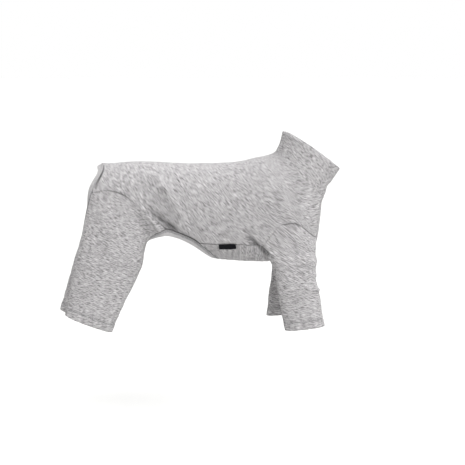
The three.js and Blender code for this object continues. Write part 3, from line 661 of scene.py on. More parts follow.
def length(name, description, default):
    """A size for the sidebar, in metres."""
    return bpy.props.FloatProperty(
        name=name, description=description, default=default, precision=4, unit="LENGTH", subtype="DISTANCE"
    )


def linear(hex_colour):
    """An sRGB hex colour as linear red, green and blue."""
    srgb = np.array([int(hex_colour[k : k + 2], 16) for k in (1, 3, 5)]) / 255
    return tuple(np.where(srgb <= 0.04045, srgb / 12.92, ((srgb + 0.055) / 1.055) ** 2.4))


def colour(name, description, default):
    """A colour for the sidebar."""
    return bpy.props.FloatVectorProperty(
        name=name, description=description, default=linear(default), size=3, min=0, max=1, subtype="COLOR"
    )


class JumpsuitSizes(bpy.types.PropertyGroup):
    """The suit's real sizes."""

    back_length: length("Back length", "Tail edge to withers", 0.27)
    chest_depth: length("Chest depth", "Withers to breastbone", 0.168)
    chest_width: length("Chest width", "Across the ribs", 0.126)
    cloth: length("Cloth", "One layer of jersey", 0.0015)
    collar_height: length("Collar height", "Seam to rim, along the neck", 0.0436)
    collar_length: length("Collar length", "Rim, nape to throat", 0.107)
    collar_width: length("Collar width", "Rim, side to side", 0.093)
    sleeve_length: length("Sleeve length", "Top of the sleeve cap to the hem", 0.164)
    sleeve_width: length("Sleeve width", "Front to back at the hem", 0.06)
    sleeve_out: length("Sleeve reach", "Centre plane to the sleeve's outer side", 0.06)
    sleeve_depth: length("Sleeve depth", "Outer to inner side at the hem", 0.046)
    left_sleeve_swing: length("Left sleeve swing", "How far forward of the right hem it stands", -0.028)
    left_sleeve_lift: length("Left sleeve lift", "How far above the right hem it stands", 0.015)
    trouser_length: length("Trouser length", "Top of the leg seam to the hem", 0.226)
    trouser_width: length("Trouser width", "Front to back at the crotch", 0.1)
    trouser_out: length("Trouser reach", "Centre plane to the leg's outer side", 0.064)
    trouser_depth: length("Trouser depth", "Outer to inner side at the crotch", 0.054)
    left_trouser_swing: length("Left trouser swing", "How far forward of the right hem it stands", -0.014)
    left_trouser_lift: length("Left trouser lift", "How far above the right hem it stands", 0)
    hem_height: length("Hem height", "Turned-up cloth at each cuff", 0.015)
    tail_slit: length("Tail slit", "Gap beside the tail where the binding stands off the back", 0.004)
    band_width: length("Band width", "Rib binding round the rump and belly", 0.0105)
    band_thickness: length("Band thickness", "Rib binding folded over the edge", 0.0028)
    rim_droop: length("Rim droop", "How far the collar's rim sinks at the throat", 0.005)
    rim_roll: length("Rim roll", "How far the collar's folded rim swells out", 0.0006)
    fold_height: length("Fold height", "Of the deepest folds", 0.004)
    fold_width: length("Fold width", "Of a fold of middling width", 0.008)
    wave_height: length("Wave height", "Of the cloth's uneven waves", 0.0005)
    seam_depth: length("Seam depth", "How far a seam sinks into the cloth", 0.0009)
    stitch: length("Stitch", "One stitch of the hems and the binding", 0.0026)
    thread: length("Thread", "Thickness of the sewing thread", 0.0005)
    label_length: length("Label length", "Along the side seam", 0.027)
    label_drop: length("Label drop", "Down from the side seam", 0.009)
    label_tuck: length("Label tuck", "Part of the label inside the seam", 0.002)
    label_thickness: length("Label thickness", "Of the folded label", 0.0008)


class JumpsuitColours(bpy.types.PropertyGroup):
    """The colours of cloth, thread and label."""

    fibre: colour("Fibre", "Most of the heather yarn", "#AEACAD")
    dark_fibre: colour("Dark fibre", "The dark streaks of the heather yarn", "#5C5A5B")
    light_fibre: colour("Light fibre", "The light streaks of the heather yarn", "#DFDDDE")
    thread: colour("Thread", "The sewing thread", "#C4C4C5")
    label: colour("Label", "The woven label's ground", "#0C0D12")
    floor: colour("Floor", "The studio floor", "#DCDCDB")


# Grids and panels


def ring_rows(start, end, per_ring):
    """Ring positions from start to end, the same for every panel that is cut there."""
    count = int(round((end - start) * per_ring))
    return start + (end - start) * np.arange(count + 1) / count


REAR_ROWS = ring_rows(0, GROIN, RING_ROWS)
FLANK_ROWS = ring_rows(GROIN, BELLY_START, RING_ROWS)
SIDE_ROWS = ring_rows(BELLY_START, ARMPIT, RING_ROWS)
ARM_ROWS = ring_rows(ARMPIT, SLEEVE_FRONT, RING_ROWS)
CHEST_ROWS = ring_rows(SLEEVE_FRONT, NECK, CHEST_RING_ROWS)
BELLY_ROWS = np.concatenate([SIDE_ROWS, ARM_ROWS[1:], CHEST_ROWS[1:]])
BACK_ROWS = np.concatenate([REAR_ROWS, FLANK_ROWS[1:], BELLY_ROWS[1:]])


def columns_across(count, fine):
    """Places across a panel, from -1 to 1, with closer ones beside its edges."""
    even = np.linspace(-1, 1, count + 1)
    close = 1 - fine * np.array([1, 2])
    return np.sort(np.concatenate([even, close, -close]))


BACK_ACROSS = columns_across(BACK_COLUMNS, fine=0.005)
BELLY_ACROSS = columns_across(BELLY_COLUMNS, fine=0.012)


def body_cloth(size, rows, across, ring_at, turn_of, bias):
    """A body panel's cloth on a grid of rings by steps across, with flat distances from its middle line.
    Its knitted courses run round the body, at a slant of bias."""
    across = across[None, :]
    at = ring_at(rows[:, None], across)
    turn = turn_of(at, across)
    points = body_point(size, at, turn)
    round_body = run_along(points, 1)
    round_body = round_body - round_body[:, across.size // 2][:, None]
    along_body = run_along(points, 0)
    cloth = Cloth([points], [np.stack([round_body, along_body], axis=-1)], size.cloth)
    cloth.normals[cloth.grids[0].ravel()] = body_normal(size, at, turn).reshape(-1, 3)
    cloth.courses[cloth.grids[0]] = along_body.mean(axis=1, keepdims=True) + bias * round_body
    return cloth


def slit_open(across):
    """How far the slits beside the tail stand open, from 0 at their ends to 1."""
    return np.maximum(0, np.sin(np.pi * (np.abs(across) - SLIT_START) / SLIT_SPAN))


def back_cloth(size):
    """The back panel, tail to collar. Beside the tail its edge is cut in by a slit on each side."""

    def ring_at(at, across):
        first_ring = (BODY["top_x"][1] - BODY["top_x"][0]) * size.back_length
        return at + size.tail_slit / first_ring * slit_open(across) * np.clip(1 - at, 0, 1) ** 2

    def turn_of(at, across):
        return across * back_edge(at)

    return body_cloth(size, BACK_ROWS, BACK_ACROSS, ring_at, turn_of, BACK_BIAS)


def belly_cloth(size):
    """The belly panel, whose rear edge is notched forward in its middle."""

    def ring_at(at, across):
        reach = smoothstep((ARMPIT - at) / (ARMPIT - BELLY_START))
        return at + BELLY_NOTCH * reach * (1 - across**2)

    def turn_of(at, across):
        return np.pi + across * (np.pi - belly_edge(at))

    return body_cloth(size, BELLY_ROWS, BELLY_ACROSS, ring_at, turn_of, bias=0)


def pressed_seam(size, distance, along):
    """How the cloth sinks into a seam and puckers beside it: bell curves across, sine waves along."""
    short, long = PUCKER_LENGTHS
    pucker = np.sin(along / short) * np.sin(along / long + 1)
    beside = bump(distance - PUCKER_REACH, PUCKER_REACH)
    return size.seam_depth * (PUCKER_SHARE * pucker * beside - bump(distance, SEAM_GROOVE))


def body_shift(size, cloth, rows):
    """How far a body panel's outer face stands out: folds and waves, with seams pressed in. It also sets
    the cloth's painted shade in seams and hollows.
    """
    distance = np.empty(len(cloth.points))
    grid = cloth.grids[0]
    across = run_along(cloth.points[grid], 1)
    distance[grid] = np.minimum(across, across[:, -1:] - across)
    at = np.empty(len(cloth.points))
    at[grid] = rows[:, None]
    dark = seam_sink_and_painted_shade(at)
    relief = soft_relief(size, cloth.points, cloth.normals)
    # Painted shade along the seams and in the hollows.
    cloth.shade = np.maximum(dark * bump(distance, SHADE_WIDTH), painted_hollow_shade(size, relief))
    return relief + dark * pressed_seam(size, distance, cloth.flat[:, 1])


def from_seam_rows(rows, end):
    """Distances from a seam up to end, which isn't one of them: two close rows, then even ones."""
    close = 2 * SEAM_STEP
    even = close + np.linspace(0, 1, rows - 1)[:-1, None] * (end - close)
    return np.concatenate([0 * even[:1], 0 * even[:1] + SEAM_STEP, even])


def hem_rows(size, rows):
    """Distances down a leg: even rows to the hem, and closer ones over it."""

    def distances(full, _):
        over = size.hem_height + HEM_TURN
        on_hem = full - np.linspace(over, 0, HEM_ROWS)[:, None]
        return np.concatenate([from_seam_rows(rows, full - over), on_hem])

    return distances


def armhole(size, side):
    """An armhole's seam, from the armpit round the outside to the front and back inside. It gives the
    seam's points, the slopes at which the sleeve leaves it, its outward directions, the sleeve's rings and
    the seam's places on the back panel's edge."""
    top_turn = turn_at(SLEEVE_TOP, curve(ARMHOLE, "drop", SLEEVE_TOP))
    leg = leg_sizes(size, "sleeve", SLEEVE, side, body_point(size, SLEEVE_TOP, top_turn))
    half = len(ARM_ROWS) - 1
    back = ARM_ROWS[::-1][1:-1]
    at = np.concatenate([ARM_ROWS, back])
    inside = np.arange(len(at)) > half
    outer_turn = turn_at(ARM_ROWS, curve(ARMHOLE, "drop", ARM_ROWS))
    turn = side * np.concatenate([outer_turn, turn_at(back, curve(ARMHOLE, "inside", back))])
    around = (np.arange(len(at)) / half - 0.5) * np.pi
    start = body_point(size, at, turn)
    rings = np.stack([leg_point(leg, row, around) for row in range(len(SLEEVE["drop"]))])
    straight = unit(rings[0] - start)
    down_body = unit(body_point(size, at, turn + side * STEP) - start)
    flush = np.where(inside, 0, np.cos(around))[:, None]
    slope = unit(straight + (down_body - straight) * flush)
    outwards = rings[0] - leg_point(leg, 0, around + np.pi)
    outwards = unit(outwards - slope * np.sum(outwards * slope, axis=-1, keepdims=True))
    edge_at = np.where(inside, ARMPIT, at)
    return start, slope, unit(body_normal(size, at, turn) + outwards), rings, np.append(edge_at, edge_at[0])


def share_directions(cloth, points, directions):
    """Gives a panel's vertices at a seam's points the seam's outward directions."""
    own = {tuple(key): k for k, key in enumerate(keys_of(cloth.points, 1e-6))}
    for key, direction in zip(keys_of(points, 1e-6), directions):
        if tuple(key) in own:
            cloth.normals[own[tuple(key)]] = direction


def meet_sleeves(size, cloth):
    """Gives a body panel the armholes' outward directions, so that it meets the sleeves without a step."""
    for side in (RIGHT, LEFT):
        start, _, directions, _, _ = armhole(size, side)
        share_directions(cloth, start, directions)


def leg_form(size, cloth, downs, tops, slants):
    """Doubles a leg's cloth over its hem, and gives how far its outer face stands out: folds and waves,
    the pressed seam above, the turned hem below and its two rows of stitches. tops are the places on the
    back panel's edge above each column, and slants how steeply the courses fall forwards at seam and hem."""
    from_seam, from_hem, top = np.empty((3, len(cloth.points)))
    for grid, down, above in zip(cloth.grids, downs, tops):
        above = np.broadcast_to(above, down.shape)
        if cloth.side == LEFT:
            down, above = down[:, ::-1], above[:, ::-1]
        from_seam[grid] = down
        from_hem[grid] = down[-1:] - down
        top[grid] = above
    cloth.from_hem = from_hem
    x, fall = cloth.points[:, 0], -cloth.points[:, 2]
    lower = (fall - fall.min()) / np.ptp(fall)
    cloth.courses = fall - (x - x.mean()) * (slants[0] + (slants[1] - slants[0]) * lower)
    doubled = smoothstep((size.hem_height + HEM_TURN - from_hem) / HEM_TURN)
    cloth.wall = size.cloth * (1 + doubled)
    stitched = sum(bump(from_hem - share * size.hem_height, HEM_TURN) for share in HEM_STITCHES)
    dark = seam_sink_and_painted_shade(top)
    relief = soft_relief(size, cloth.points, cloth.normals)
    # Painted shade along the seam, in the stitch grooves and in the hollows.
    seams = dark * bump(from_seam, SHADE_WIDTH) + HEM_SHADE * stitched
    cloth.shade = np.maximum(seams, painted_hollow_shade(size, relief))
    along = cloth.flat[:, 0]
    short, long = RUFFLE_LENGTHS
    ruffle = RUFFLE_SHARE * np.sin(along / short) * np.sin(along / long)
    hem = HEM_SWELL * doubled * (1 + ruffle) - HEM_GROOVE * stitched
    crinkle = WRINKLE_SHARE * size.wave_height * waves(cloth.points * CRINKLE_SQUEEZE, *CRINKLES)
    return relief + crinkle + dark * pressed_seam(size, from_seam, along) + hem


def sleeve_cloth(size, side):
    """A sleeve: a closed tube that runs down from the armhole through its rings."""
    start, slope, directions, rings, at = armhole(size, side)
    grid = lines_through(np.concatenate([start[None], rings]), slope, hem_rows(size, SLEEVE_ROWS))
    grid = np.concatenate([grid, grid[:, :1]], axis=1)
    down = run_along(grid, 0)
    cloth = Cloth([grid], [np.stack([run_along(grid, 1), down], axis=-1)], size.cloth, side)
    share_directions(cloth, start, directions)
    return cloth, leg_form(size, cloth, [down], [at], SLEEVE_SLANTS)


def trouser_cloth(size, side):
    """A trouser leg. Its outer half hangs from the leg seam as an apron over the thigh and closes to a
    tube at the crotch, where its inner half starts with an edge that dips in the middle."""
    top_turn = turn_at(1.0, curve(LEG_SEAM, "drop", 1.0))
    leg = leg_sizes(size, "trouser", TROUSER, side, body_point(size, 1.0, top_turn))
    share = np.arange(len(REAR_ROWS)) / (len(REAR_ROWS) - 1)
    turn = side * back_edge(REAR_ROWS)
    start = body_point(size, REAR_ROWS, turn)
    count = len(TROUSER["drop"])
    rings = np.stack([leg_point(leg, row, (share - 0.5) * np.pi) for row in range(count)])
    down_body = unit(body_point(size, REAR_ROWS, turn + side * STEP) - start)
    slope = unit(down_body + (APRON_REAR - down_body) * share[:, None] ** 4)
    tube = hem_rows(size, TROUSER_ROWS)

    def rows_below(full, apron):
        return np.concatenate([from_seam_rows(APRON_ROWS, apron), apron + tube(full - apron, 0)])

    outer = lines_through(np.concatenate([start[None], rings]), slope, rows_below)
    share = np.linspace(0, 1, INNER_COLUMNS + 1)[1:-1]
    rings = np.stack([leg_point(leg, row, (0.5 + share) * np.pi) for row in range(count)])
    rings[0] += (rings[1] - rings[0]) * CROTCH_SCOOP * np.sin(np.pi * share)[:, None]
    inner = lines_through(rings, unit(rings[1] - rings[0]), tube)
    inner = np.concatenate([outer[APRON_ROWS:, -1:], inner, outer[APRON_ROWS:, :1]], axis=1)
    reach = run_along(outer, 1)
    fall = run_along(outer, 0)
    inner_reach = run_along(inner, 1) + reach[APRON_ROWS:, -1:]
    inner_fall = run_along(inner, 0) + fall[APRON_ROWS, 0]
    flats = [np.stack([reach, fall], axis=-1), np.stack([inner_reach, inner_fall], axis=-1)]
    cloth = Cloth([outer, inner], flats, size.cloth, side)
    share_directions(cloth, start, body_normal(size, REAR_ROWS, turn))
    return cloth, leg_form(size, cloth, [fall, inner_fall], [REAR_ROWS, GROIN], TROUSER_SLANTS)


def open_edges(cloth):
    """A trouser leg's bound edge, from the leg seam at the rump round the crotch to the leg seam at the
    groin, as vertices and the vertices beside them."""
    outer, inner = [grid[:, ::-1] if cloth.side == LEFT else grid for grid in cloth.grids]
    rump = outer[1:APRON_ROWS, :2]
    crotch = inner[:2, ::-1].T
    groin = outer[APRON_ROWS - 1 : 0 : -1, [-1, -2]]
    return np.concatenate([rump, crotch, groin])


# Collar, binding, stitches and label


def ring_solid(name, sections, closed, shade=None):
    """A closed mesh from an outline's sections[k, point, axis]. The ends meet, or are closed across."""
    count, around = sections.shape[:2]
    index = np.arange(count * around).reshape(count, around)
    run = np.concatenate([index, index[:1]]) if closed else index
    quads = squares(np.concatenate([run, run[:, :1]], axis=1)).reshape(-1, 4)
    wrapped = np.concatenate([sections, sections[:, :1]], axis=1)
    wrapped = np.concatenate([wrapped, wrapped[:1]]) if closed else wrapped
    down = run_along(wrapped, 1)
    along = run_along(wrapped, 0).mean(axis=1, keepdims=True) + 0 * down
    flats = squares(np.stack([along, down], axis=-1)).reshape(-1, 4, 2)
    if not closed:
        near = np.arange(around // 2 - 1)
        far = around - 1 - near
        for end, order in ((0, [0, 1, 2, 3]), (-1, [3, 2, 1, 0])):
            cap = np.stack([index[end, k] for k in (near, near + 1, far - 1, far)], axis=-1)
            quads = np.concatenate([quads, cap[:, order]])
            flats = np.concatenate([flats, np.zeros((len(cap), 4, 2))])
    return new_piece(name, sections.reshape(-1, 3), quads, flats, shade if shade is None else shade.ravel())


def collar_sections(size):
    """The collar's sections round the neck: up its outer face along cubics from the seam to the rim, over
    the soft fold at the rim as a half circle, and down inside."""
    back = BACK_ACROSS * back_edge(np.array(NECK))
    throat = np.pi + BELLY_ACROSS[1:-1] * (np.pi - back_edge(np.array(NECK)))
    turn = np.concatenate([back, throat])
    at = np.full(turn.shape, float(NECK))
    smooth_seam = body_point(size, at, turn)
    seam_out = body_normal(size, at, turn)
    seam = smooth_seam + seam_out * soft_relief(size, smooth_seam, seam_out)[:, None]
    middle = (body_point(size, NECK, 0.0) + body_point(size, NECK, np.pi)) / 2
    middle = middle + size.collar_height * np.array([np.sin(COLLAR_LEAN), 0, np.cos(COLLAR_LEAN)])
    to_throat = np.array([np.cos(COLLAR_SLOPE), 0, -np.sin(COLLAR_SLOPE)])
    sideways = np.array([0, 1, 0])
    rim = middle - size.collar_length / 2 * np.cos(turn)[:, None] * to_throat
    rim = rim + size.collar_width / 2 * np.sin(turn)[:, None] * sideways
    up = unit(rim - seam)
    from_throat = np.abs(np.pi - np.mod(turn, 2 * np.pi))
    throat_dip = 0.75 * bump(from_throat, 0.75)
    nape_dip = 0.3 * bump(np.pi - from_throat, 0.4)
    uneven = 0.12 * np.sin(3 * turn + 1)
    rim = rim - up * (size.rim_droop * (throat_dip + nape_dip + uneven))[:, None]
    around = np.cos(turn)[:, None] * size.collar_width * sideways
    around = around + np.sin(turn)[:, None] * size.collar_length * to_throat
    out = unit(np.cross(up, around))
    share = COLLAR_ROWS[:, None, None]
    height = np.linalg.norm(rim - seam, axis=-1)[None, :, None]
    onwards = unit(smooth_seam - body_point(size, at - 0.1, turn))
    start = unit(up + COLLAR_BLEND * onwards) * height[0]
    spots = cubic(seam, rim, start, rim - seam, share)
    fine = waves(spots @ COLLAR_SQUEEZE, *COLLAR_WRINKLES) * smoothstep(COLLAR_FINE - from_throat)[None, :]
    # The relief grows over the collar's lowest quarter. Over its lowest third, the wall's direction turns
    # from the body's to the collar's own.
    relief = soft_relief(size, spots, np.broadcast_to(out, spots.shape))
    relief = (relief + 0.5 * size.wave_height * fine)[..., None] * np.minimum(1, 4 * share)
    roll = size.rim_roll * bump((1 - share) * height, COLLAR_ROLL)
    outer = spots + out * (relief + roll)
    angle = np.linspace(0, np.pi, RIM_ROUND)[1:-1, None, None]
    inward = unit(seam_out + (out - seam_out) * np.minimum(1, 3 * share))
    wall = 2 * size.cloth
    inner = outer - inward * (wall + 2 * roll)
    wall = wall + 2 * size.rim_roll
    crest = outer[-1] - out * wall / 2 * (1 - np.cos(angle)) + up * wall / 2 * np.sin(angle)
    foot = (outer[0] + inner[0]) / 2
    return np.concatenate([outer, crest, inner[::-1], foot[None]]).transpose(1, 0, 2)


def blended(values, width):
    """Each row's mean over its neighbours on both sides, round a closed loop."""
    return sum(np.roll(values, k, axis=0) for k in range(-width, width + 1)) / (2 * width + 1)


def binding_loop(size):
    """The bound edge of the whole opening: tail, right leg, right flank, belly, left flank and left leg. It
    gives the edge's points, its outward directions and the directions in which the cloth ends."""
    back = back_cloth(size)
    belly = belly_cloth(size)
    legs = {side: trouser_cloth(size, side)[0] for side in (RIGHT, LEFT)}
    back_grid = back.grids[0]
    flank_rows = np.arange(len(REAR_ROWS) - 1, len(REAR_ROWS) + len(FLANK_ROWS) - 2)
    runs = [
        (back, back_grid[:2, ::-1].T),
        (legs[RIGHT], open_edges(legs[RIGHT])),
        (back, back_grid[flank_rows][:, :2]),
        (belly, belly.grids[0][:2, ::-1].T),
        (back, back_grid[flank_rows][::-1, [-1, -2]]),
        (legs[LEFT], open_edges(legs[LEFT])[::-1]),
    ]
    edge = np.concatenate([cloth.points[pairs[:, 0]] for cloth, pairs in runs])
    beside = np.concatenate([cloth.points[pairs[:, 1]] for cloth, pairs in runs])
    out = np.concatenate([cloth.normals[pairs[:, 0]] for cloth, pairs in runs])
    return edge + out * soft_relief(size, edge, out)[:, None], out, unit(edge - beside)


def square_to(tangent, onward, out):
    """Two directions made square to the edge and to each other."""
    onward = unit(onward - tangent * np.sum(onward * tangent, axis=-1, keepdims=True))
    out = out - tangent * np.sum(out * tangent, axis=-1, keepdims=True)
    return onward, unit(out - onward * np.sum(out * onward, axis=-1, keepdims=True))


def at_rump(size, edge):
    """1 where the binding runs behind the rump, falling to 0 in front of it."""
    return smoothstep(-RUMP_FADE * (edge[:, 0] / size.back_length + RUMP_END))


def beside_tail(size, edge):
    """1 where the binding runs beside the tail, falling to 0 at the leg seams."""
    above_foot = smoothstep(TAIL_FADE * (edge[:, 2] / size.chest_depth + TAIL_FOOT))
    return above_foot * at_rump(size, edge)


def binding_frame(size):
    """The binding's edge points, its directions at the seam, and at each point the way to the band's free
    edge and the outward direction there. The free edge has round corners and is tucked in at the rump."""
    edge, out, onward = binding_loop(size)
    tangent = unit(blended(np.roll(edge, -1, axis=0) - np.roll(edge, 1, axis=0), EDGE_BLEND))
    free_onward, free_out = square_to(tangent, blended(onward, FREE_BLEND), blended(out, FREE_BLEND))
    tuck = BAND_TUCK * (1 - TAIL_TUCK * beside_tail(size, edge)) * at_rump(size, edge)
    tuck = tuck[:, None]
    tucked = free_onward * np.cos(tuck) - free_out * np.sin(tuck)
    lifted = free_out * np.cos(tuck) + free_onward * np.sin(tuck)
    free = blended(edge + tucked * size.band_width, CORNER_BLEND)
    at_seam = square_to(tangent, blended(onward, SEAM_BLEND), blended(out, SEAM_BLEND))
    return edge, at_seam, (free - edge, lifted)


def binding_sections(size):
    """The binding's sections: a folded band, rounded at its free side, with a groove where it is stitched.
    Also each point's painted shade at seam and stitches, and the rows of stitches' paths and directions."""
    edge, (onward, out), (free_way, free_out) = binding_frame(size)
    face = np.linspace(*BAND_FACE, BAND_ROWS)
    turn = np.linspace(np.pi / 2, -np.pi / 2, BAND_ROUND)[1:-1]
    first, second = BINDING_STITCHES
    # Places and widths are shares of the band's width, and depths are shares of its thickness.
    stitched = bump(face - first, 0.04) + bump(face - second, 0.1)
    groove = 0.5 * bump(face, 0.06) + 0.16 * stitched
    # Painted shade in the seam groove and in the stitch grooves.
    dark = 0.9 * bump(face, 0.08) + 0.7 * stitched
    rounded = BAND_FACE[1] + (1 - BAND_FACE[1]) * np.cos(turn)
    share = np.concatenate([face, rounded, face[::-1]])
    high = np.concatenate([np.ones(len(face)), 0.5 + 0.5 * np.sin(turn), groove[::-1]])
    # The inner face starts a little nearer to the cloth's middle.
    high[0] = 0.8
    blend = smoothstep(share * 3)[None, :, None]
    onward = onward * size.band_width
    along = onward[:, None] + (free_way - onward)[:, None] * blend
    lift = unit(out[:, None] + (free_out - out)[:, None] * blend)
    middle = (size.band_thickness - size.cloth) / 2
    gap = BAND_GAP / size.band_width
    reach = gap + share[None, :, None] * (1 - gap)
    # Beside the tail less of the painted shade is kept.
    kept_painted_shade = 1 - TAIL_SHADE * beside_tail(size, edge)
    shade = np.concatenate([dark, 0 * turn, dark[::-1]])[None] * kept_painted_shade[:, None]
    flat_band = edge[:, None] + along * reach
    sections = flat_band + lift * (middle - high[None, :, None] * size.band_thickness)
    paths = []
    for place in BINDING_STITCHES:
        k = np.abs(face - place).argmin()
        sunk = middle - groove[k] * size.band_thickness
        paths.append((flat_band[:, k] + lift[:, k] * sunk, lift[:, k]))
    return sections, shade, paths


def stitches(size, name, path, outwards):
    """A row of stitches, short rounded threads laid end to end along a closed path on the cloth."""
    path = np.concatenate([path, path[:1]])
    outwards = np.concatenate([outwards, outwards[:1]])
    run = run_along(path, 0)
    count = int(run[-1] / (size.stitch + size.thread))
    centre = (np.arange(count) + 0.5) * run[-1] / count

    def read(values, distance):
        return np.stack([np.interp(distance, run, values[:, k]) for k in range(3)], axis=-1)

    along = unit(read(path, centre + size.stitch / 3) - read(path, centre - size.stitch / 3))
    out = read(outwards, centre)
    out = unit(out - along * np.sum(out * along, axis=-1, keepdims=True))
    side = np.cross(along, out)
    share = STITCH_RINGS["place"]
    thick = size.thread / 2 * STITCH_RINGS["thick"]
    angle = np.arange(STITCH_SIDES) * 2 * np.pi / STITCH_SIDES
    arch = STITCH_ARCH * size.thread * (1 - share**2)
    reach = (share * size.stitch / 2)[:, None, None]
    spot = read(path, centre)[:, None, None] + along[:, None, None] * reach
    spot = spot + out[:, None, None] * (arch[:, None, None] + (thick[:, None] * np.cos(angle))[..., None])
    spot = spot + side[:, None, None] * (thick[:, None] * np.sin(angle))[..., None]
    index = np.arange(len(share) * STITCH_SIDES).reshape(len(share), STITCH_SIDES)
    wrapped = np.concatenate([index, index[:, :1]], axis=1)
    quads = [squares(wrapped)[..., [0, 3, 2, 1]].reshape(-1, 4)]
    for ring, order in ((index[0], [3, 2, 1, 0]), (index[-1], [0, 1, 2, 3])):
        quads.append(np.stack([ring[[0, 1, 2, 3]], ring[[0, 3, 4, 5]]])[:, order])
    every = np.concatenate(quads)[None] + (np.arange(count) * index.size)[:, None, None]
    every = every.reshape(-1, 4)
    return new_piece(name, spot.reshape(-1, 3), every, np.zeros((len(every), 4, 2)))


def hem_stitches(size, cloth, name):
    """Two rows of stitches round a leg's hem."""
    rows = []
    for number, share in enumerate(HEM_STITCHES, 1):
        loops = []
        for grid in cloth.grids:
            off = np.abs(cloth.from_hem[grid] - share * size.hem_height).sum(axis=1)
            loops.append(grid[off.argmin()][:-1])
        ring = np.concatenate(loops)
        rows.append(stitches(size, f"{name}_hem_stitches_{number}", cloth.outer[ring], cloth.normals[ring]))
    return rows


def label_sections(size):
    """The label's sections along the side seam: a folded strip that hangs down and curls a little."""
    beside = 0.3
    at = np.array([LABEL_RING - beside, LABEL_RING + beside, LABEL_RING])
    turn = -back_edge(at)
    rear, front, seam = body_point(size, at, turn)
    along = unit(front - rear)
    out = body_normal(size, at, turn)[2]
    out = unit(out - along * (out @ along))
    down = np.cross(along, out)
    share = np.linspace(-0.5, 0.5, LABEL_COLUMNS)
    drop = np.linspace(0, 1, LABEL_ROWS)
    bend = np.linspace(np.pi / 2, -np.pi / 2, LABEL_ROUND)[1:-1]
    thick = size.label_thickness
    straight = size.label_drop - thick / 2
    falls = np.concatenate([drop * straight, straight + thick / 2 * np.cos(bend), drop[::-1] * straight])
    highs = np.concatenate([0 * drop + 1, 0.5 + 0.5 * np.sin(bend), 0 * drop]) * thick
    curl = LABEL_CURL * np.sin(share * 7 + 0.6)[:, None] * (falls / size.label_drop) ** 2
    middle = seam + out * LABEL_STAND + down * (size.label_drop / 2 - LABEL_RAISE)
    level = along * np.cos(LABEL_TILT) - down * np.sin(LABEL_TILT)
    down = down * np.cos(LABEL_TILT) + along * np.sin(LABEL_TILT)
    spots = middle + level * (share * size.label_length)[:, None, None]
    spots = spots + down * (falls - size.label_drop / 2)[None, :, None]
    return spots + out * (highs + curl)[..., None]


# Materials


def add_node(tree, kind, inputs=None, stops=(), **settings):
    """Adds a shader node with its settings. inputs are values, or the outputs that feed it, by the sockets'
    names or numbers. stops are a colour ramp's places and colours."""
    made = tree.nodes.new(kind)
    for name, value in settings.items():
        setattr(made, name, value)
    for name, value in (inputs or {}).items():
        if isinstance(value, bpy.types.NodeSocket):
            tree.links.new(value, made.inputs[name])
        else:
            made.inputs[name].default_value = value
    if stops:
        made.color_ramp.interpolation = "EASE"
        for place, _ in stops[2:]:
            made.color_ramp.elements.new(place)
        for element, (place, shade) in zip(made.color_ramp.elements, stops):
            element.position = place
            element.color = (*shade, 1)
    return made


def new_material(name, rough, sheen, sheen_rough):
    """A cloth material with its node tree and its shader."""
    material = bpy.data.materials.new(name)
    material.use_nodes = True
    tree = material.node_tree
    tree.nodes.clear()
    surface = {
        "Roughness": rough,
        "Sheen Weight": sheen,
        "Sheen Roughness": sheen_rough,
        "Specular IOR Level": 0.1,
    }
    shader = add_node(tree, "ShaderNodeBsdfPrincipled", surface)
    add_node(tree, "ShaderNodeOutputMaterial", {"Surface": shader.outputs["BSDF"]})
    return material, tree, shader


def streaks(tree, long, wide, detail=3.0):
    """Noise drawn out along the yarn's run: `long` metres round the suit by `wide` metres."""
    cloth = add_node(tree, "ShaderNodeUVMap", uv_map="cloth")
    scale = {"Vector": cloth.outputs["UV"], "Scale": (1 / long, 1 / wide, 1)}
    spread = add_node(tree, "ShaderNodeMapping", scale)
    rough = {"Scale": 1.0, "Detail": detail, "Roughness": 0.55, "Distortion": 0.25}
    noise = add_node(tree, "ShaderNodeTexNoise", {"Vector": spread.outputs["Vector"], **rough})
    return noise.outputs["Fac"]


def mixed_yarn(tree, colours, long, wide, detail, places):
    """Streaks from the dark fibre over the plain one to the light one, with the two plain places
    between."""
    tones = (colours.dark_fibre[:], colours.fibre[:], colours.fibre[:], colours.light_fibre[:])
    fibres = streaks(tree, long, wide, detail)
    return add_node(tree, "ShaderNodeValToRGB", {"Fac": fibres}, tuple(zip(places, tones))).outputs["Color"]


def heather_jersey(colours):
    """Single jersey knitted from a mixed yarn of dark and pale cotton. Long and short streaks along the
    courses give the heather look, slow mottling keeps large areas alive, and a fine knit bump with fuzz
    breaks up the light. A real streak is one course wide, 0.7 mm. It is drawn 1 mm wide, because a pixel
    shows 1.6 mm."""
    material, tree, shader = new_material("heather jersey", rough=1.0, sheen=0.08, sheen_rough=0.6)
    long = mixed_yarn(tree, colours, *LONG_STREAKS)
    short = mixed_yarn(tree, colours, *SHORT_STREAKS)
    streaked = {0: SHORT_SHARE, 6: long, 7: short}
    yarn = add_node(tree, "ShaderNodeMix", streaked, data_type="RGBA", clamp_factor=True)
    place = add_node(tree, "ShaderNodeTexCoord")
    slow = {"Vector": place.outputs["Object"], "Scale": 1 / MOTTLE_SIZE, "Detail": 2.0}
    mottle = add_node(tree, "ShaderNodeTexNoise", slow)
    level = {"Value": mottle.outputs["Fac"], "To Min": 0.94, "To Max": 1.05}
    shade = add_node(tree, "ShaderNodeMapRange", level)
    layers = {0: 1.0, 6: yarn.outputs[2], 7: shade.outputs["Result"]}
    tinted = add_node(tree, "ShaderNodeMix", layers, data_type="RGBA", blend_type="MULTIPLY")
    # The painted shade of seams, creases and hollows darkens the yarn's colour.
    tree.links.new(with_painted_shade(tree, tinted.outputs[2]), shader.inputs["Base Color"])
    knit_bump(tree, shader, wale=0.8 * MM, course=0.7 * MM, height=0.12 * MM)
    return material


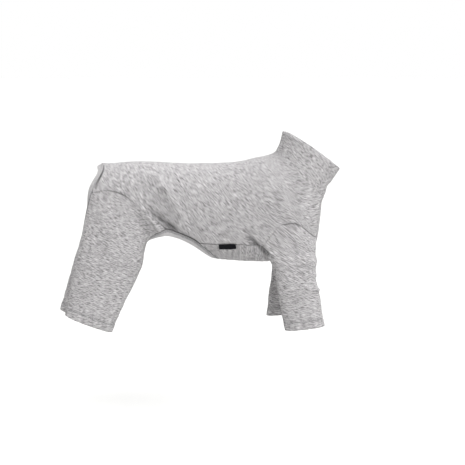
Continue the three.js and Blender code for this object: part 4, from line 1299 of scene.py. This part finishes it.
def with_painted_shade(tree, shade):
    """A colour darkened towards nearly black by the painted shade of seams, creases and hollows."""
    seam = add_node(tree, "ShaderNodeAttribute", attribute_name="seam_shade")
    # The nearly black colour of the painted shade, mixed in by each point's share of it.
    layers = {0: seam.outputs["Fac"], 6: shade, 7: (*linear("#353536"), 1)}
    return add_node(tree, "ShaderNodeMix", layers, data_type="RGBA", clamp_factor=True).outputs[2]


def knit_bump(tree, shader, wale, course, height):
    """Rows of knit loops, `wale` apart across and `course` apart down, under a fuzz of loose fibres."""
    cloth = add_node(tree, "ShaderNodeUVMap", uv_map="cloth")
    parts = add_node(tree, "ShaderNodeSeparateXYZ", {"Vector": cloth.outputs["UV"]})
    rows = []
    for axis, pitch in (("X", wale), ("Y", course)):
        turns = {0: parts.outputs[axis], 1: 2 * np.pi / pitch}
        turn = add_node(tree, "ShaderNodeMath", turns, operation="MULTIPLY")
        rows.append(add_node(tree, "ShaderNodeMath", {0: turn.outputs[0]}, operation="SINE").outputs[0])
    loops = add_node(tree, "ShaderNodeMath", {0: rows[0], 1: rows[1]}, operation="ADD")
    fibres = {0: streaks(tree, *FUZZ), 1: 3.0, 2: loops.outputs[0]}
    fuzz = add_node(tree, "ShaderNodeMath", fibres, operation="MULTIPLY_ADD")
    relief = {"Height": fuzz.outputs[0], "Strength": 0.5, "Distance": height}
    bumped = add_node(tree, "ShaderNodeBump", relief)
    tree.links.new(bumped.outputs["Normal"], shader.inputs["Normal"])


def rib_knit(colours):
    """The same yarn knitted as a close rib and folded over the edge, with ribs that cross the band. The
    ribs are drawn 1.4 mm apart, a little coarser than the real ones, so that they still show from near
    by."""
    material, tree, shader = new_material("rib knit", rough=1.0, sheen=0.08, sheen_rough=0.6)
    yarn = mixed_yarn(tree, colours, *RIB_STREAKS)
    # The painted shade of the seam and stitch grooves darkens the yarn's colour.
    tree.links.new(with_painted_shade(tree, yarn), shader.inputs["Base Color"])
    knit_bump(tree, shader, wale=1.4 * MM, course=2.2 * MM, height=0.2 * MM)
    return material


def sewing_thread(colours):
    """Soft spun polyester thread, a shade paler than the cloth, with a slight sheen and a fine twist."""
    material, tree, shader = new_material("sewing thread", rough=0.8, sheen=0.1, sheen_rough=0.4)
    place = add_node(tree, "ShaderNodeTexCoord")
    fine = {"Vector": place.outputs["Object"], "Scale": 1 / TWIST_SIZE, "Detail": 1.0}
    twist = add_node(tree, "ShaderNodeTexNoise", fine)
    thread = colours.thread[:]
    deep = tuple(0.7 * value for value in thread)
    twisted = {"Fac": twist.outputs["Fac"]}
    tones = add_node(tree, "ShaderNodeValToRGB", twisted, ((0.35, deep), (0.6, thread)))
    tree.links.new(tones.outputs["Color"], shader.inputs["Base Color"])
    return material


def woven_label(colours):
    """Black woven polyester tape. Fine weft ribs across it and a faint gloss set it off from the cloth."""
    material, tree, shader = new_material("woven label", rough=0.85, sheen=0.0, sheen_rough=0.3)
    ground = colours.label[:]
    pale = tuple(value + 0.004 for value in ground)
    weft = {"Fac": streaks(tree, 3 * MM, 0.3 * MM)}
    tones = add_node(tree, "ShaderNodeValToRGB", weft, ((0.35, ground), (0.7, pale)))
    tree.links.new(tones.outputs["Color"], shader.inputs["Base Color"])
    knit_bump(tree, shader, wale=0.35 * MM, course=0.3 * MM, height=0.05 * MM)
    return material


MATERIALS = {
    "heather jersey": heather_jersey,
    "rib knit": rib_knit,
    "sewing thread": sewing_thread,
    "woven label": woven_label,
}


def material_of(name):
    """The named material, made when it is first needed."""
    return bpy.data.materials.get(name) or MATERIALS[name](bpy.context.scene.jumpsuit_colours)


# Pieces


def dress(piece, material, slot, *nodes):
    """Gives a piece its material and the solids that it stands for, and fixes it to the suit. slot is not
    used.
    """
    piece.data.materials.append(material_of(material))
    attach(piece, "root")
    if nodes:
        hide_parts(*nodes)
    return piece


def sew(size, cloth, shift, name):
    piece = dress(cloth.wall_mesh(f"{name}_cloth", shift), "heather jersey", "jersey", name)
    threads = [] if cloth.from_hem is None else hem_stitches(size, cloth, name)
    rows = [dress(row, "sewing thread", "jersey") for row in threads]


class JUMPSUIT_OT_back_panel(bpy.types.Operator):
    """Builds the back panel, from the tail to the collar"""

    bl_idname = "jumpsuit.back_panel"
    bl_label = "Back Panel"

    def execute(self, context):
        size = context.scene.jumpsuit_sizes
        cloth = back_cloth(size)
        meet_sleeves(size, cloth)
        shift = body_shift(size, cloth, BACK_ROWS)
        grid = cloth.grids[0]
        # A shallow crease in front of each tail slit, painted nearly black as the shadow of an open gap.
        from_crease = run_along(cloth.points[grid], 0) - CREASE_INSET * BACK_ACROSS**4
        crease = slit_open(CREASE_SPREAD * BACK_ACROSS) * bump(from_crease, CREASE_WIDTH)
        cloth.shade[grid] = np.maximum(cloth.shade[grid], CREASE_PAINTED_SHADOW * crease)
        shift[grid] -= size.seam_depth * crease
        sew(size, cloth, shift, "back_panel")
        return {"FINISHED"}


class JUMPSUIT_OT_belly_panel(bpy.types.Operator):
    """Builds the belly panel, between the side seams and the sleeves"""

    bl_idname = "jumpsuit.belly_panel"
    bl_label = "Belly Panel"

    def execute(self, context):
        size = context.scene.jumpsuit_sizes
        cloth = belly_cloth(size)
        meet_sleeves(size, cloth)
        shift = body_shift(size, cloth, BELLY_ROWS)
        wrinkles = waves(cloth.points * BELLY_SQUEEZE, *BELLY_WRINKLES)
        shift += WRINKLE_SHARE * size.wave_height * wrinkles
        # Painted shade: the belly panel darker all over, and most in the hollows of its wrinkles.
        cloth.shade = np.maximum(cloth.shade, BELLY_SHADE * np.clip(0.7 - wrinkles, 0, 2.2))
        sew(size, cloth, shift, "belly_panel")
        return {"FINISHED"}


class JUMPSUIT_OT_collar(bpy.types.Operator):
    """Builds the double collar with its soft rim"""

    bl_idname = "jumpsuit.collar"
    bl_label = "Collar"

    def execute(self, context):
        size = context.scene.jumpsuit_sizes
        sections = collar_sections(size)
        collar = dress(ring_solid("collar_cloth", sections, True), "heather jersey", "jersey", "collar")
        halfway = np.abs(COLLAR_ROWS - 0.5).argmin()
        return {"FINISHED"}


class JUMPSUIT_OT_sleeves(bpy.types.Operator):
    """Builds both sleeves with their turned and stitched hems"""

    bl_idname = "jumpsuit.sleeves"
    bl_label = "Sleeves"

    def execute(self, context):
        build_legs(context.scene.jumpsuit_sizes, sleeve_cloth, "sleeve")
        return {"FINISHED"}


class JUMPSUIT_OT_trouser_legs(bpy.types.Operator):
    """Builds both trouser legs with their turned and stitched hems"""

    bl_idname = "jumpsuit.trouser_legs"
    bl_label = "Trouser Legs"

    def execute(self, context):
        build_legs(context.scene.jumpsuit_sizes, trouser_cloth, "trouser_leg")
        return {"FINISHED"}


def build_legs(size, cloth_of, kind):
    """Builds the right and left leg of a kind, and sews their hems."""
    for side, word in ((RIGHT, "right"), (LEFT, "left")):
        cloth, shift = cloth_of(size, side)
        sew(size, cloth, shift, f"{word}_{kind}")


class JUMPSUIT_OT_binding(bpy.types.Operator):
    """Builds the rib binding round the rump and belly opening, with two rows of stitches"""

    bl_idname = "jumpsuit.binding"
    bl_label = "Binding"

    def execute(self, context):
        size = context.scene.jumpsuit_sizes
        sections, shade, paths = binding_sections(size)
        shade = np.broadcast_to(shade, sections.shape[:2])
        band = ring_solid("opening_binding_rib", sections, True, shade)
        dress(band, "rib knit", "rib", "opening_binding")
        for number, (path, outwards) in enumerate(paths, 1):
            row = stitches(size, f"binding_stitches_{number}", path, outwards)
            dress(row, "sewing thread", "rib")
        edge = binding_loop(size)[0]
        return {"FINISHED"}


class JUMPSUIT_OT_label(bpy.types.Operator):
    """Builds the blank woven label in the right side seam"""

    bl_idname = "jumpsuit.label"
    bl_label = "Label"

    def execute(self, context):
        size = context.scene.jumpsuit_sizes
        label = ring_solid("side_label_tape", label_sections(size), False)
        dress(label, "woven label", "woven_label", "side_label")
        return {"FINISHED"}


# The floor under the hems, the camera's aim, distance, height and seen width, and the lamps' places.
FLOOR_DROP = 0.394
FLOOR_REACH = 30.0
AIM = (-0.0568, 0, -0.1226)
CAMERA_DISTANCE = 3.5
CAMERA_HEIGHT = np.radians(5)
VIEW_WIDTH = 0.744
SENSOR = 36
SUN_PLACE = (0.6, 0.1, 3.0)
SOFTBOX_PLACE = (1.4, -4.9, 2.8)
WHITE = (1, 1, 1, 1)


# The stage


def aim_at(thing, place, target):
    """Puts a camera or a lamp in its place, facing the target."""
    thing.location = place
    thing.rotation_euler = (Vector(target) - Vector(place)).to_track_quat("-Z", "Y").to_euler()
    bpy.context.scene.collection.objects.link(thing)


def add_lamp(name, kind, place, **settings):
    """A lamp with its settings, aimed at the suit."""
    lamp = bpy.data.lights.new(name, kind)
    for setting, value in settings.items():
        setattr(lamp, setting, value)
    aim_at(bpy.data.objects.new(name, lamp), place, AIM)


def add_light(scene):
    """A wide soft light from high above, a large softbox on the camera's side, and a faint even light from
    all round. The background is as bright as the floor far off, so that no horizon shows."""
    add_lamp("overhead light", "SUN", SUN_PLACE, angle=np.radians(110), energy=5.0)
    add_lamp("key softbox", "AREA", SOFTBOX_PLACE, size=2.4, energy=162)
    world = bpy.data.worlds.new("studio")
    world.use_nodes = True
    tree = world.node_tree
    tree.nodes.clear()
    rays = add_node(tree, "ShaderNodeLightPath")
    room = add_node(tree, "ShaderNodeBackground", {"Color": WHITE, "Strength": 0.05})
    backdrop = add_node(tree, "ShaderNodeBackground", {"Color": WHITE, "Strength": 1.0})
    views = {0: rays.outputs["Is Camera Ray"], 1: room.outputs[0], 2: backdrop.outputs[0]}
    seen = add_node(tree, "ShaderNodeMixShader", views)
    add_node(tree, "ShaderNodeOutputWorld", {"Surface": seen.outputs[0]})
    scene.world = world


class JUMPSUIT_OT_stage(bpy.types.Operator):
    """Builds the pale floor, the soft studio light and the camera"""

    bl_idname = "jumpsuit.stage"
    bl_label = "Stage"

    def execute(self, context):
        scene = context.scene
        x, y = np.meshgrid([-FLOOR_REACH, FLOOR_REACH], [-FLOOR_REACH, FLOOR_REACH])
        corners = np.stack([x, y, np.full(x.shape, -FLOOR_DROP)], axis=-1).reshape(-1, 3)
        floor = new_piece("floor", corners, np.array([[0, 1, 3, 2]]), np.zeros((1, 4, 2)))
        paper, _, shader = new_material("pale floor", rough=0.9, sheen=0.0, sheen_rough=0.5)
        shader.inputs["Base Color"].default_value = (*scene.jumpsuit_colours.floor, 1)
        floor.data.materials.append(paper)

        add_light(scene)

        camera = bpy.data.cameras.new("camera")
        camera.sensor_width = SENSOR
        camera.lens = SENSOR * CAMERA_DISTANCE / VIEW_WIDTH
        camera.clip_end = 100
        eye = Vector(AIM) + CAMERA_DISTANCE * Vector((0, -np.cos(CAMERA_HEIGHT), np.sin(CAMERA_HEIGHT)))
        holder = bpy.data.objects.new("camera", camera)
        aim_at(holder, eye, AIM)
        scene.camera = holder
        scene.view_settings.view_transform = "Standard"
        return {"FINISHED"}


# The sidebar, and the classes' registering


class JUMPSUIT_PT_sidebar(bpy.types.Panel):
    """The jumpsuit's sizes, colours and pieces in the 3D view's sidebar"""

    bl_label = "Jumpsuit"
    bl_space_type = "VIEW_3D"
    bl_region_type = "UI"
    bl_category = "Jumpsuit"

    def draw(self, context):
        for group in (context.scene.jumpsuit_sizes, context.scene.jumpsuit_colours):
            box = self.layout.box()
            for name in group.bl_rna.properties.keys():
                if name not in ("rna_type", "name"):
                    box.prop(group, name)
        for operator in OPERATORS:
            self.layout.operator(operator.bl_idname)


OPERATORS = (
    JUMPSUIT_OT_back_panel,
    JUMPSUIT_OT_belly_panel,
    JUMPSUIT_OT_collar,
    JUMPSUIT_OT_sleeves,
    JUMPSUIT_OT_trouser_legs,
    JUMPSUIT_OT_binding,
    JUMPSUIT_OT_label,
    JUMPSUIT_OT_stage,
)
CLASSES = (JumpsuitSizes, JumpsuitColours, *OPERATORS, JUMPSUIT_PT_sidebar)


def register():
    """Adds the classes and the scene's sizes and colours."""
    for each in CLASSES:
        bpy.utils.register_class(each)
    bpy.types.Scene.jumpsuit_sizes = bpy.props.PointerProperty(type=JumpsuitSizes)
    bpy.types.Scene.jumpsuit_colours = bpy.props.PointerProperty(type=JumpsuitColours)


def unregister():
    """Removes them again."""
    del bpy.types.Scene.jumpsuit_colours
    del bpy.types.Scene.jumpsuit_sizes
    for each in reversed(CLASSES):
        bpy.utils.unregister_class(each)


def main():
    """Builds the whole suit and its stage."""
    register()
    bpy.ops.jumpsuit.back_panel()
    bpy.ops.jumpsuit.belly_panel()
    bpy.ops.jumpsuit.collar()
    bpy.ops.jumpsuit.sleeves()
    bpy.ops.jumpsuit.trouser_legs()
    bpy.ops.jumpsuit.binding()
    bpy.ops.jumpsuit.label()
    bpy.ops.jumpsuit.stage()


if __name__ == "__main__":
    main()
